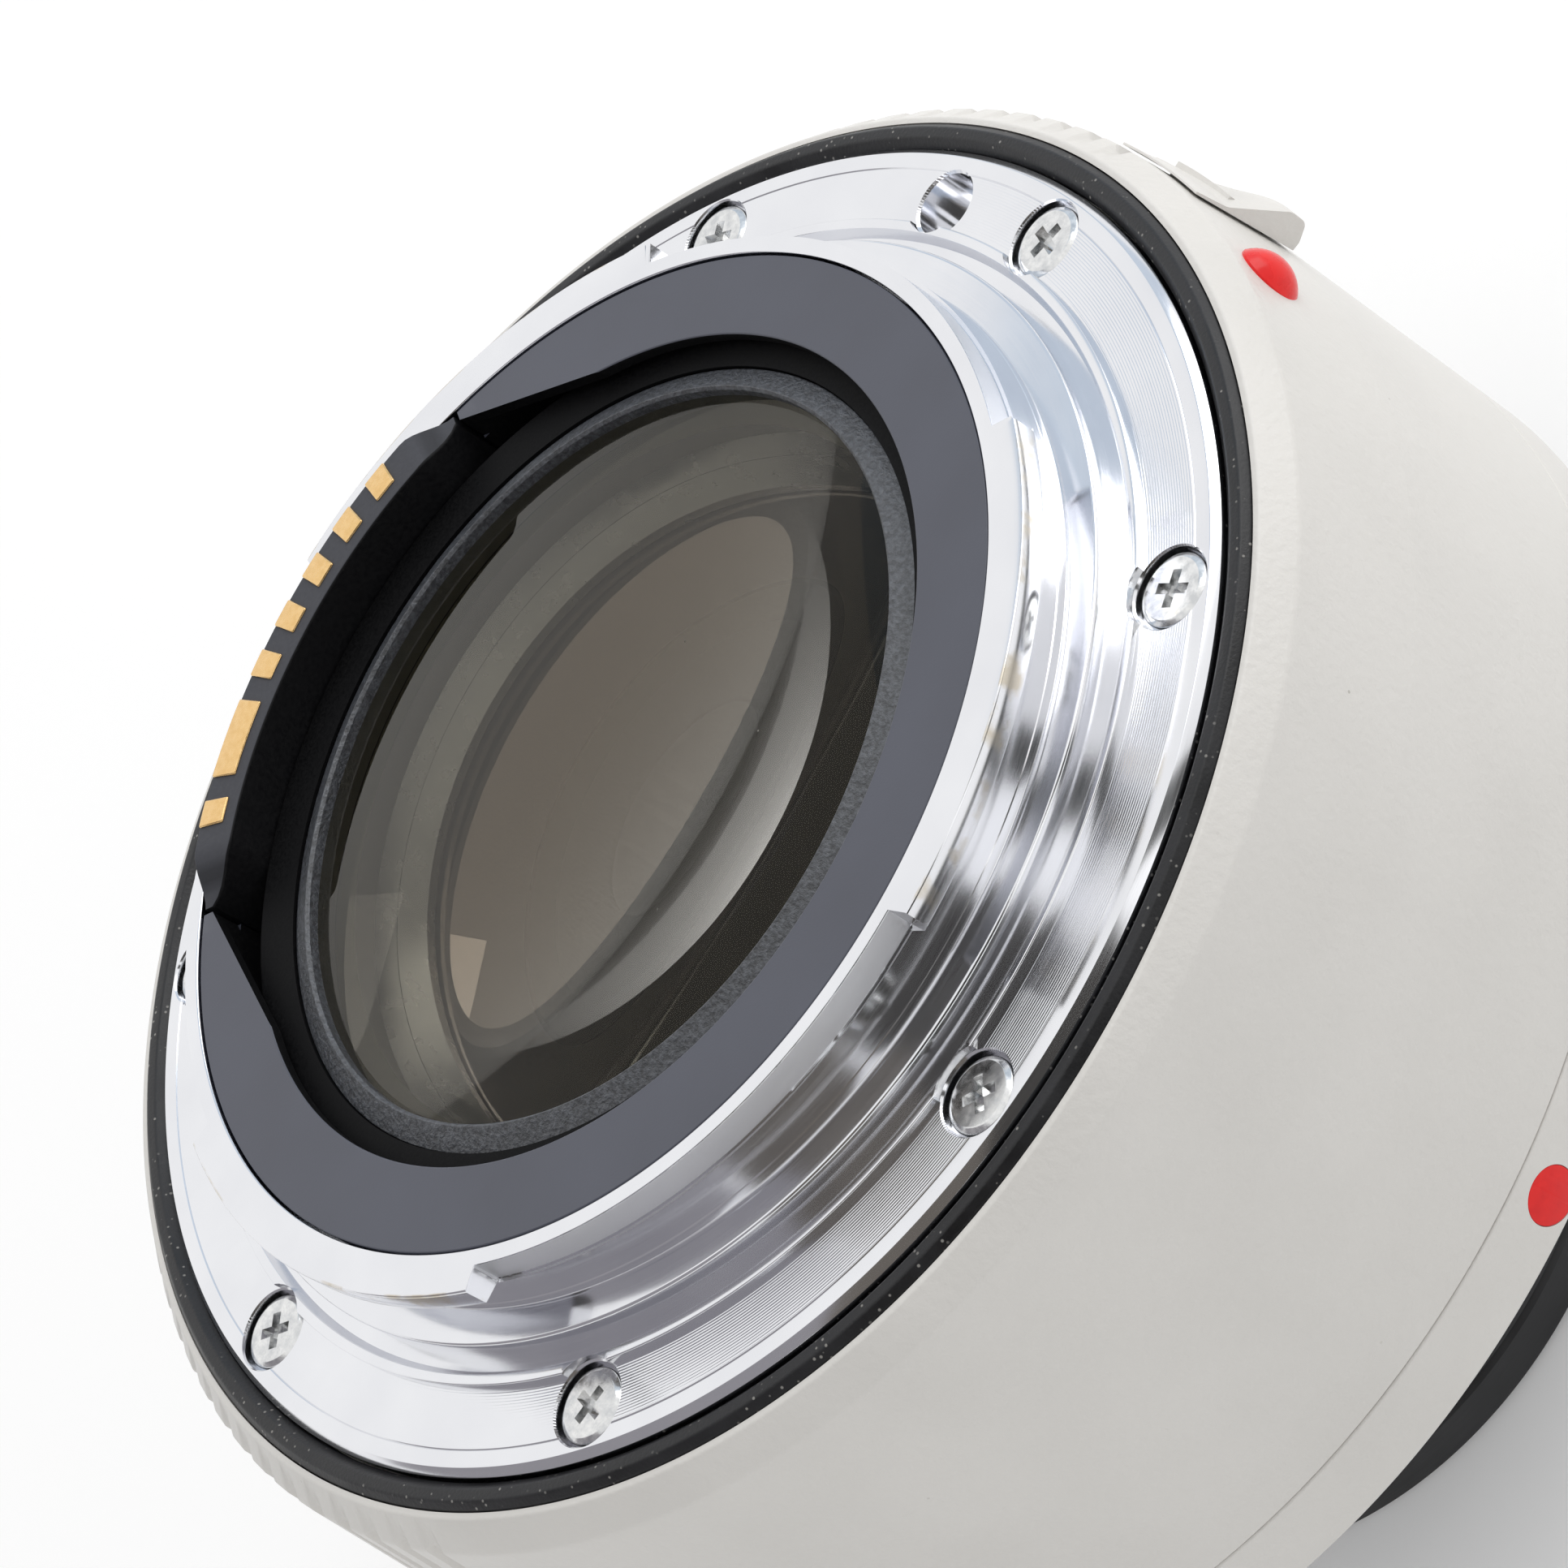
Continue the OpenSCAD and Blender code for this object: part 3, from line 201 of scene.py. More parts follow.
def newFinish(name, sockets):
    finish = bpy.data.materials.new(name)
    finish.use_nodes = True
    tree = finish.node_tree
    shader = tree.nodes["Principled BSDF"]
    for label, value in sockets.items():
        shader.inputs[label].default_value = value
    place = tree.nodes.new("ShaderNodeTexCoord").outputs["Object"]
    return finish, tree, shader, place


def grain(tree, place, size, detail=3, roughness=0.5):
    # noise whose spots are about that many millimetres wide
    noise = tree.nodes.new("ShaderNodeTexNoise")
    noise.inputs["Scale"].default_value = 1 / (size * mm)
    noise.inputs["Detail"].default_value = detail
    noise.inputs["Roughness"].default_value = roughness
    tree.links.new(place, noise.inputs["Vector"])
    return noise.outputs["Fac"]


def specks(tree, place, spacing, size):
    # small round specks, 1 inside and 0 outside
    cells = tree.nodes.new("ShaderNodeTexVoronoi")
    cells.inputs["Scale"].default_value = 1 / (spacing * mm)
    tree.links.new(place, cells.inputs["Vector"])
    return spread(tree, cells.outputs["Distance"], size, size * 0.6, 0, 1)


def spread(tree, value, low, high, toLow, toHigh):
    node = tree.nodes.new("ShaderNodeMapRange")
    node.inputs["From Min"].default_value = low
    node.inputs["From Max"].default_value = high
    node.inputs["To Min"].default_value = toLow
    node.inputs["To Max"].default_value = toHigh
    tree.links.new(value, node.inputs["Value"])
    return node.outputs["Result"]


def sums(tree, operation, a, b):
    node = tree.nodes.new("ShaderNodeMath")
    node.operation = operation
    for socket, value in zip(node.inputs, (a, b)):
        if isinstance(value, (int, float)):
            socket.default_value = value
        elif value is not None:
            tree.links.new(value, socket)
    return node.outputs["Value"]


def tint(tree, factor, stops):
    ramp = tree.nodes.new("ShaderNodeValToRGB")
    band = ramp.color_ramp
    while len(band.elements) < len(stops):
        band.elements.new(0.5)
    for element, (spot, colour) in zip(band.elements, stops):
        element.position = spot
        element.color = (*colour, 1)
    tree.links.new(factor, ramp.inputs["Fac"])
    return ramp.outputs["Color"]


def mixTint(tree, factor, first, second):
    node = tree.nodes.new("ShaderNodeMix")
    node.data_type = "RGBA"
    tree.links.new(factor, node.inputs["Factor"])
    for socket, value in ((node.inputs[6], first), (node.inputs[7], second)):
        if isinstance(value, tuple):
            socket.default_value = (*value, 1)
        else:
            tree.links.new(value, socket)
    return node.outputs[2]


def relief(tree, shader, height, depth, strength=1.0):
    bump = tree.nodes.new("ShaderNodeBump")
    bump.inputs["Strength"].default_value = strength
    bump.inputs["Distance"].default_value = depth * mm
    tree.links.new(height, bump.inputs["Height"])
    tree.links.new(bump.outputs["Normal"], shader.inputs["Normal"])


def lathePlace(tree, place, alongRadius, alongTurn, alongHeight):
    # distance from the axis, angle round it and height, each stretched by its own factor
    split = tree.nodes.new("ShaderNodeSeparateXYZ")
    tree.links.new(place, split.inputs["Vector"])
    x, y, z = split.outputs
    radius = sums(tree, "SQRT", sums(tree, "ADD", sums(tree, "MULTIPLY", x, x), sums(tree, "MULTIPLY", y, y)), None)
    turn = sums(tree, "ARCTAN2", y, x)
    join = tree.nodes.new("ShaderNodeCombineXYZ")
    for socket, value, factor in zip(join.inputs, (radius, turn, z), (alongRadius, alongTurn, alongHeight)):
        tree.links.new(sums(tree, "MULTIPLY", value, factor), socket)
    return join.outputs["Vector"], radius, z


def latheStreaks(tree, ringed, detail):
    noise = tree.nodes.new("ShaderNodeTexNoise")
    noise.inputs["Scale"].default_value = 1
    noise.inputs["Detail"].default_value = detail
    tree.links.new(ringed, noise.inputs["Vector"])
    return noise.outputs["Fac"]


def between(tree, value, low, high, soft):
    # 1 between low and high, fading over soft, all in millimetres
    rise = spread(tree, value, (low - soft) * mm, low * mm, 0, 1)
    fall = spread(tree, value, high * mm, (high + soft) * mm, 1, 0)
    return sums(tree, "MULTIPLY", rise, fall)


def plug(tree, shader, label, value):
    tree.links.new(value, shader.inputs[label])


# finishes

def paintFinish():
    # warm pale grey enamel with fine orange peel, a little grime and rubbed spots
    look = {"fair": (0.74, 0.722, 0.69), "dull": (0.7, 0.682, 0.65), "grime": (0.42, 0.40, 0.36)}
    finish, tree, shader, place = newFinish("paleEnamel", {"Specular IOR Level": 0.5, "Coat Weight": 0.08,
        "Coat Roughness": 0.15})
    clouds = grain(tree, place, 9, 4)
    colour = tint(tree, clouds, [(0.3, look["dull"]), (0.65, look["fair"])])
    dust = sums(tree, "MULTIPLY", specks(tree, place, 2.6, 0.035), spread(tree, grain(tree, place, 7), 0.5, 0.62, 0, 1))
    plug(tree, shader, "Base Color", mixTint(tree, dust, colour, look["grime"]))
    peel = grain(tree, place, 0.45, 3, 0.5)
    plug(tree, shader, "Roughness", spread(tree, clouds, 0.3, 0.7, 0.36, 0.46))
    relief(tree, shader, peel, 0.055, 0.9)
    return finish


def chromeFinish():
    # bright plated brass: lathe rings on the flange, rubbed streaks, brassy wear on the tab edges
    look = {"bright": (0.84, 0.846, 0.87), "dull": (0.79, 0.796, 0.825), "brass": (0.62, 0.55, 0.43), "ringPitch": 0.14}
    finish, tree, shader, place = newFinish("turnedChrome", {"Metallic": 1.0})
    ringed, radius, height = lathePlace(tree, place, 9000, 6, 9000)
    streaks = latheStreaks(tree, ringed, 4)
    smear = grain(tree, place, 5, 3)
    colour = tint(tree, smear, [(0.3, look["dull"]), (0.7, look["bright"])])
    tabEdge = sums(tree, "MULTIPLY", between(tree, radius, 26.2, 27, 0.06), between(tree, height, 4.2, 5.4, 0.3))
    worn = sums(tree, "MULTIPLY", tabEdge, spread(tree, grain(tree, place, 2.2, 4), 0.5, 0.62, 0, 0.8))
    plug(tree, shader, "Base Color", mixTint(tree, worn, colour, look["brass"]))
    milled = sums(tree, "MULTIPLY", between(tree, radius, 24.9, 25.2, 0.03), between(tree, height, 3.75, 5.1, 0.05))
    rough = spread(tree, streaks, 0.3, 0.7, 0.11, 0.16)
    rough = sums(tree, "ADD", rough, sums(tree, "MULTIPLY", milled, 0.3))
    plug(tree, shader, "Roughness", sums(tree, "ADD", rough, sums(tree, "MULTIPLY", worn, 0.12)))
    face = sums(tree, "MULTIPLY", between(tree, radius, 28.7, 31.2, 0.05), between(tree, height, -0.1, 0.1, 0.05))
    rings = sums(tree, "SINE", sums(tree, "MULTIPLY", radius, 2 * math.pi / (look["ringPitch"] * mm)), None)
    cutMarks = sums(tree, "MULTIPLY", sums(tree, "ADD", rings, streaks), face)
    millMarks = sums(tree, "MULTIPLY", grain(tree, place, 0.5, 4, 0.6), sums(tree, "MULTIPLY", milled, 3))
    relief(tree, shader, sums(tree, "ADD", cutMarks, millMarks), 0.006, 0.5)
    return finish


def screwFinish():
    # bright plated steel with scuffs from the driver
    finish, tree, shader, place = newFinish("platedScrew", {"Metallic": 1.0})
    scuff = grain(tree, place, 0.5, 5, 0.6)
    plug(tree, shader, "Base Color", tint(tree, scuff, [(0.35, (0.62, 0.63, 0.64)), (0.65, (0.84, 0.84, 0.83))]))
    plug(tree, shader, "Roughness", spread(tree, scuff, 0.3, 0.7, 0.1, 0.26))
    relief(tree, shader, scuff, 0.012, 0.4)
    return finish


def rubberFinish():
    # black rubber, glossier in patches, with dust caught on it
    finish, tree, shader, place = newFinish("sealRubber", {"Specular IOR Level": 0.45})
    clouds = grain(tree, place, 3, 4)
    patches = spread(tree, grain(tree, place, 2), 0.44, 0.54, 0, 0.8)
    lint = sums(tree, "MULTIPLY", specks(tree, place, 0.42, 0.2), patches)
    base = tint(tree, clouds, [(0.3, (0.004, 0.004, 0.005)), (0.7, (0.014, 0.014, 0.016))])
    plug(tree, shader, "Base Color", mixTint(tree, lint, base, (0.3, 0.29, 0.27)))
    plug(tree, shader, "Roughness", spread(tree, clouds, 0.3, 0.7, 0.34, 0.52))
    relief(tree, shader, grain(tree, place, 0.18, 3), 0.03, 0.6)
    return finish


def coverFinish():
    # satin dark grey sheet with a very fine even tooth
    finish, tree, shader, place = newFinish("satinGrey", {"Specular IOR Level": 0.55})
    tooth = grain(tree, place, 0.09, 2)
    clouds = grain(tree, place, 6, 3)
    plug(tree, shader, "Base Color", tint(tree, clouds, [(0.3, (0.062, 0.066, 0.088)), (0.7, (0.074, 0.079, 0.104))]))
    plug(tree, shader, "Roughness", spread(tree, clouds, 0.3, 0.7, 0.36, 0.44))
    relief(tree, shader, tooth, 0.01, 0.4)
    return finish


def grainFinish():
    # retaining ring: black paint whose coarse tooth shows where it catches the light
    finish, tree, shader, place = newFinish("grainedBlack", {"Specular IOR Level": 1.0})
    tooth = grain(tree, place, 0.26, 4, 0.65)
    plug(tree, shader, "Base Color", tint(tree, tooth, [(0.4, (0.018, 0.02, 0.025)), (0.65, (0.075, 0.082, 0.097))]))
    plug(tree, shader, "Roughness", spread(tree, tooth, 0.3, 0.7, 0.5, 0.32))
    relief(tree, shader, tooth, 0.11, 0.9)
    return finish


def innerFinish(name, low, high, shine):
    # dull dark walls of the inside and of the glass edges
    finish, tree, shader, place = newFinish(name, {"Specular IOR Level": shine})
    tooth = grain(tree, place, 0.15, 3)
    plug(tree, shader, "Base Color", tint(tree, tooth, [(0.3, low), (0.7, high)]))
    plug(tree, shader, "Roughness", spread(tree, tooth, 0.3, 0.7, 0.5, 0.7))
    relief(tree, shader, tooth, 0.02, 0.4)
    return finish


def bareFinish():
    # satin bare metal of the step under the rear glass
    finish, tree, shader, place = newFinish("bareSeat", {"Metallic": 1.0})
    rub = grain(tree, place, 0.8, 4)
    plug(tree, shader, "Base Color", tint(tree, rub, [(0.3, (0.085, 0.083, 0.073)), (0.7, (0.105, 0.102, 0.09))]))
    plug(tree, shader, "Roughness", spread(tree, rub, 0.3, 0.7, 0.18, 0.3))
    return finish


def anodisedFinish():
    # satin black turned metal of the barrel and the nose
    finish, tree, shader, place = newFinish("satinBlack", {"Specular IOR Level": 0.5})
    streaks = latheStreaks(tree, lathePlace(tree, place, 7000, 5, 7000)[0], 3)
    clouds = grain(tree, place, 4, 3)
    plug(tree, shader, "Base Color", tint(tree, clouds, [(0.3, (0.014, 0.014, 0.015)), (0.7, (0.024, 0.024, 0.026))]))
    plug(tree, shader, "Roughness", spread(tree, streaks, 0.3, 0.7, 0.3, 0.46))
    relief(tree, shader, streaks, 0.01, 0.4)
    return finish


def plasticFinish():
    # moulded black plastic of the contact blocks, with a painted sheen: the rear face is painted lighter grey
    finish, tree, shader, place = newFinish("mouldedBlack", {"Specular IOR Level": 0.2})
    tooth = grain(tree, place, 0.2, 3)
    split = tree.nodes.new("ShaderNodeSeparateXYZ")
    tree.links.new(tree.nodes.new("ShaderNodeNewGeometry").outputs["Normal"], split.inputs["Vector"])
    # faces that face the rear are painted lighter grey, a painted sheen
    paintedSheen = spread(tree, split.outputs["Z"], 0.75, 0.9, 0, 1)
    black = tint(tree, tooth, [(0.3, (0.003, 0.003, 0.004)), (0.7, (0.008, 0.008, 0.009))])
    plug(tree, shader, "Base Color", mixTint(tree, paintedSheen, black, (0.06, 0.062, 0.072)))
    plug(tree, shader, "Roughness", spread(tree, tooth, 0.3, 0.7, 0.5, 0.65))
    relief(tree, shader, tooth, 0.015, 0.4)
    return finish


def goldFinish():
    # gold plate with rub marks from the mating contacts
    finish, tree, shader, place = newFinish("contactGold", {"Metallic": 1.0})
    rub = grain(tree, place, 0.35, 4, 0.6)
    plug(tree, shader, "Base Color", tint(tree, rub, [(0.35, (0.8, 0.52, 0.22)), (0.65, (0.88, 0.6, 0.28))]))
    plug(tree, shader, "Roughness", spread(tree, rub, 0.3, 0.7, 0.16, 0.34))
    relief(tree, shader, rub, 0.01, 0.4)
    return finish


def redFinish(name, gloss):
    finish, tree, shader, place = newFinish(name, {"Specular IOR Level": 0.35})
    clouds = grain(tree, place, 0.8, 3)
    plug(tree, shader, "Base Color", tint(tree, clouds, [(0.3, (0.74, 0.011, 0.011)), (0.7, (0.84, 0.018, 0.016))]))
    plug(tree, shader, "Roughness", spread(tree, clouds, 0.3, 0.7, gloss, gloss + 0.12))
    relief(tree, shader, grain(tree, place, 0.3, 2), 0.01, 0.4)
    return finish


def glassFinish(name, colour, coating, bending):
    # coated optical glass, a little dust on it
    finish, tree, shader, place = newFinish(name, {"Transmission Weight": 1.0, "IOR": bending,
        "Specular Tint": (*coating, 1)})
    dust = specks(tree, place, 3.2, 0.02)
    plug(tree, shader, "Roughness", spread(tree, dust, 0, 1, 0.0, 0.3))
    plug(tree, shader, "Base Color", mixTint(tree, dust, colour, (0.6, 0.6, 0.58)))
    return finish


def springFinish():
    finish, tree, shader, place = newFinish("springSteel", {"Metallic": 1.0})
    rub = grain(tree, place, 0.4, 4)
    plug(tree, shader, "Base Color", tint(tree, rub, [(0.3, (0.5, 0.5, 0.51)), (0.7, (0.66, 0.66, 0.67))]))
    plug(tree, shader, "Roughness", spread(tree, rub, 0.3, 0.7, 0.2, 0.36))
    relief(tree, shader, rub, 0.01, 0.4)
    return finish


def boardFinish(name, low, high, gloss):
    finish, tree, shader, place = newFinish(name, {"Specular IOR Level": 0.5})
    weave = grain(tree, place, 0.5, 4)
    plug(tree, shader, "Base Color", tint(tree, weave, [(0.3, low), (0.7, high)]))
    plug(tree, shader, "Roughness", spread(tree, weave, 0.3, 0.7, gloss, gloss + 0.15))
    relief(tree, shader, weave, 0.02, 0.4)
    return finish


paleEnamel = paintFinish()
turnedChrome = chromeFinish()
platedScrew = screwFinish()
sealRubber = rubberFinish()
satinGrey = coverFinish()
grainedBlack = grainFinish()
deepBlack = innerFinish("deepBlack", (0.002, 0.002, 0.0025), (0.006, 0.006, 0.0065), 0.09)
oliveEdge = innerFinish("oliveEdge", (0.04, 0.036, 0.024), (0.055, 0.05, 0.034), 0.15)
brownEdge = innerFinish("brownEdge", (0.09, 0.075, 0.06), (0.13, 0.11, 0.09), 0.2)
seatGrey = innerFinish("seatGrey", (0.06, 0.057, 0.045), (0.08, 0.076, 0.06), 0.3)
bareSeat = bareFinish()
satinBlack = anodisedFinish()
mouldedBlack = plasticFinish()
contactGold = goldFinish()
beadRed = redFinish("beadRed", 0.2)
dotRed = redFinish("dotRed", 0.36)
rearGlass = glassFinish("rearGlass", (0.94, 0.92, 0.87), (0.16, 0.14, 0.105), 1.6)
innerGlass = glassFinish("innerGlass", (0.9, 0.87, 0.82), (0.95, 0.78, 0.62), 1.75)
frontGlass = glassFinish("frontGlass", (0.88, 0.88, 0.85), (0.5, 0.45, 0.4), 1.52)
springSteel = springFinish()
boardGreen = boardFinish("boardGreen", (0.01, 0.07, 0.03), (0.02, 0.11, 0.05), 0.35)
filmAmber = boardFinish("filmAmber", (0.42, 0.17, 0.03), (0.55, 0.25, 0.05), 0.25)
chipBlack = boardFinish("chipBlack", (0.012, 0.012, 0.013), (0.03, 0.03, 0.03), 0.45)
print("finishes made")

# spots that several pieces share, in millimetres and degrees
tabAngles = (20.5, -92.2, 144)
screwCircle = 30
frontScrewAngles = (45, 135, 225, 315)
lockSpot = (29.75, 90)
leverMiddle = 74.7
contacts = {"count": 8, "pitch": 6.27, "middle": 180, "pinCircle": 23.2}
frontFace = -27.2


def contactAngle(i):
    return contacts["middle"] + (i - (contacts["count"] - 1) / 2) * contacts["pitch"]


# rear shell with its crease, rounded rear edge and two grips

def makeRearShell():
    shell = {"radius": 35.998, "rearRadius": 35.4, "edgeRound": 1.15, "roundBase": -1.85, "crease": -9, "steps": 800,
        "grooves": 15, "pitch": 3.6, "firstGroove": 77.4, "grooveRadius": 0.55, "grooveDepth": 0.4}
    slope = (shell["radius"] - shell["rearRadius"]) / (shell["roundBase"] - shell["crease"])

    def taper(z):
        return shell["rearRadius"] - slope * (z - shell["roundBase"])

    edge = [(shell["rearRadius"], shell["roundBase"], 0.5), (shell["rearRadius"] - shell["edgeRound"], -0.55, 0.25)]
    flank = [(shell["radius"], -23.25, 0.15), (shell["radius"], shell["crease"]), (taper(-8.9), -8.9),
        (taper(-8.75), -8.75)]
    inside = [(33.95, -0.55), (33.95, -1.7), (32.5, -1.7), (32.5, -2.2), (31.3, -2.2), (31.3, -3), (32.4, -3),
        (32.4, -4.6), (34, -6.2), (34, -21.65), (32.4, -21.65), (32.4, -23.25)]
    corners = flank + edge + inside
    piece = turnRing("rearShell", corners, shell["steps"])
    takeUp(piece)
    bpy.ops.object.mode_set(mode="EDIT")
    mesh = bmesh.from_edit_mesh(piece.data)
    step = 360 / shell["steps"]
    middles = [s * (shell["firstGroove"] + i * shell["pitch"]) for s in (-1, 1) for i in range(shell["grooves"])]
    slots = {round(m / step) % shell["steps"] for m in middles}
    grooveRows = {}
    for v in mesh.verts:
        radius = math.hypot(v.co.x, v.co.y) / mm
        z = v.co.z / mm
        if radius < 34.8 or z < -8.95:
            continue
        spot = round(math.degrees(math.atan2(v.co.y, v.co.x)) / step) % shell["steps"]
        for off in (-1, 0, 1):
            if (spot - off) % shell["steps"] in slots:
                side = radius * math.radians(abs(off) * step)
                drop = math.sqrt(shell["grooveRadius"] ** 2 - side ** 2) - shell["grooveRadius"] + shell["grooveDepth"]
                if taper(z) - drop < radius:
                    key = round((taper(z) - drop) / radius, 6)
                    grooveRows.setdefault(key, []).append(v.index)
    for factor, members in grooveRows.items():
        pickVerts(piece, members)
        bpy.ops.transform.resize(value=(factor, factor, 1), center_override=(0, 0, 0))
    bpy.ops.object.mode_set(mode="OBJECT")
    leverSlot = turnSector("leverSlot", [(30, -8), (38, -8), (38, -3.4), (30, -3.4)], leverMiddle, 4, 12)
    carve(piece, [leverSlot])
    dress(piece, paleEnamel, "housing", ["rear_shell"])


makeRearShell()
print("rear shell made")


# front ring with its painted index dot

def makeFrontRing():
    ring = [(35.998, -27.2, 0.3), (35.998, -23.3, 0.15), (32.4, -23.3), (32.4, -24.4), (31.3, -24.4), (31.3, -25.2),
        (32.4, -25.2), (32.4, -27.2, 0.1)]
    dotMark = {"height": -25.55, "radius": 1.35, "depth": 0.3}
    piece = turnRing("frontRing", ring, 360)
    seat = turnPost("dotSeat", [(0, 0), (dotMark["radius"] + 0.03, 0), (dotMark["radius"] + 0.03, 2), (0, 2)], (0, 0, 0))
    disc = turnPost("frontDot", [(0, 0), (dotMark["radius"], 0), (dotMark["radius"], 2), (0, 2)], (0, 0, 0), 64)
    for post in (seat, disc):
        post.data.transform(Matrix.Translation(Vector((36 - dotMark["depth"], 0, dotMark["height"])) * mm)
            @ Matrix.Rotation(math.pi / 2, 4, "Y"))
    carve(piece, [seat])
    skin = turnSector("dotSkin", [(35.5, -27), (35.985, -27), (35.985, -24), (35.5, -24)], 0, 4, 32)
    carve(disc, [skin], "INTERSECT")
    softenEdges(disc, 0.04)
    dress(piece, paleEnamel, "housing", ["front_ring"])
    dress(disc, dotRed, "housing", ["front_index_dot"])


makeFrontRing()
print("front ring made")


# rear bayonet: flange, low ring, spigot, neck and three tabs between milled gaps

def makeRearBayonet():
    mount = {"steps": 720, "tabHalf": 26.5, "millUnder": 3.65, "millRadius": 25.1, "firstScrew": 120,
        "screwPitch": 45, "screws": 7}
    corners = [(23.2, -2.2), (32.45, -2.2), (32.45, -0.35, 0.05), (32.1, 0, 0.08), (31.35, 0), (31.3, -0.04), (31.25, 0),
        (28.5, 0), (28.5, 0.45, 0.08), (28.0, 0.45, 0.08), (27.7, -0.05, 0.04), (27, -0.05), (27, 1.3, 0.16),
        (25.3, 1.3, 0.05), (25.3, 1.74), (25.23, 1.8), (25.3, 1.86), (25.3, 3.85), (26.3, 3.85, 0.1),
        (26.3, 5.2, 0.12), (24.3, 5.2, 0.1), (24.3, 1), (23.2, 1)]
    piece = turnRing("rearBayonet", corners, mount["steps"], 3)
    takeUp(piece)
    bpy.ops.object.mode_set(mode="EDIT")

    def inGap(v):
        angle = math.degrees(math.atan2(v.co.y, v.co.x))
        return all(abs((angle - a + 180) % 360 - 180) > mount["tabHalf"] for a in tabAngles)

    moves = {}
    mesh = bmesh.from_edit_mesh(piece.data)
    for v in mesh.verts:
        radius = math.hypot(v.co.x, v.co.y) / mm
        z = v.co.z / mm
        if z < 3.7 or radius < 25.15 or not inGap(v):
            continue
        newRadius = radius if radius < 25.5 and z < 3.9 else mount["millRadius"]
        newHeight = mount["millUnder"] if z < 4.1 else z
        moves.setdefault((round(newRadius / radius, 6), round(newHeight - z, 5)), []).append(v.index)
    for (factor, lift), members in moves.items():
        pickVerts(piece, members)
        bpy.ops.transform.resize(value=(factor, factor, 1), center_override=(0, 0, 0))
        bpy.ops.transform.translate(value=(0, 0, lift * mm))
    bpy.ops.object.mode_set(mode="OBJECT")
    pocket = [(0, -0.85), (1.95, -0.85), (1.95, -0.08), (2.04, 0.02), (2.04, 2), (0, 2)]
    hole = [(0, -1.6), (1.6, -1.6), (1.6, -0.12), (1.74, 0.02), (1.74, 2), (0, 2)]
    cutters = [turnPost("pocket", pocket, polarSpot(screwCircle,
        mount["firstScrew"] - i * mount["screwPitch"])) for i in range(mount["screws"])]
    cutters.append(turnPost("lockHole", hole, polarSpot(*lockSpot)))
    carve(piece, [weld("flangeCuts", cutters)])
    notch = turnSector("blockNotch", [(22, -4), (24.3, -4), (24.3, 2), (22, 2)], 180, 26.8, 40)
    carve(piece, [notch])
    dress(piece, turnedChrome, "housing", ["rear_bayonet"])


makeRearBayonet()
print("rear bayonet made")


# cross-head screws, one made and copied

def makeScrew(name, look):
    head, height = look["head"], look["height"]
    outline = [(0, -look["shank"]), (look["radius"], -look["shank"]), (look["radius"], -height), (head, -height),
        (head, -look["crown"], 0.12), (look["flat"], 0, 0.2), (0, 0)]
    piece = turnRing(name, outline, 64, 5, closed=False)
    arms = []
    for turn in (0, 90):
        letGo()
        bpy.ops.mesh.primitive_cube_add(size=1, scale=(look["cross"] * mm, look["arm"] * mm, 2 * look["depth"] * mm))
        arm = bpy.context.object
        bpy.ops.object.transform_apply(location=True, rotation=True, scale=True)
        bpy.ops.object.mode_set(mode="EDIT")
        bpy.ops.mesh.select_mode(type="FACE")
        bpy.ops.mesh.select_all(action="DESELECT")
        mesh = bmesh.from_edit_mesh(arm.data)
        for f in mesh.faces:
            f.select_set(f.normal.z < -0.5)
        bmesh.update_edit_mesh(arm.data)
        bpy.ops.transform.resize(value=(0.55, 0.7, 1), center_override=(0, 0, -look["depth"] * mm))
        bpy.ops.object.mode_set(mode="OBJECT")
        arm.data.transform(Matrix.Rotation(math.radians(turn), 4, "Z"))
        arms.append(arm)
    carve(piece, arms)
    return piece


def placeScrews(name, master, spots):
    copies = []
    for spot, twist, flip in spots:
        takeUp(master)
        bpy.ops.object.duplicate(linked=False)
        copy = bpy.context.object
        copy.data.transform(Matrix.Translation(spot) @ Matrix.Rotation(math.pi if flip else 0, 4, "X")
            @ Matrix.Rotation(math.radians(twist), 4, "Z"))
        copies.append(copy)
    bpy.data.objects.remove(master)
    return weld(name, copies)


def makeScrews():
    mountScrew = {"head": 1.78, "height": 0.66, "crown": 0.15, "flat": 1.5, "radius": 0.9, "shank": 5.4, "cross": 2.3,
        "arm": 0.6, "depth": 0.5, "top": -0.12}
    twists = (20, 62, 12, 38, 74, 30, 55)
    spots = [(polarSpot(screwCircle, 120 - 45 * i, mountScrew["top"]), twist, False) for i, twist in enumerate(twists)]
    rear = placeScrews("rearScrews", makeScrew("mountScrew", mountScrew), spots)
    dress(rear, platedScrew, "housing", ["rear_mount_screws"])
    spots = [(polarSpot(screwCircle, a, frontFace - mountScrew["top"]), a * 1.7, True) for a in frontScrewAngles]
    front = placeScrews("frontScrews", makeScrew("mountScrew", mountScrew), spots)
    dress(front, platedScrew, "housing", ["front_mount_screws"])


makeScrews()
print("screws made")


# rubber seal round the flange, and the dark cover inside the bayonet

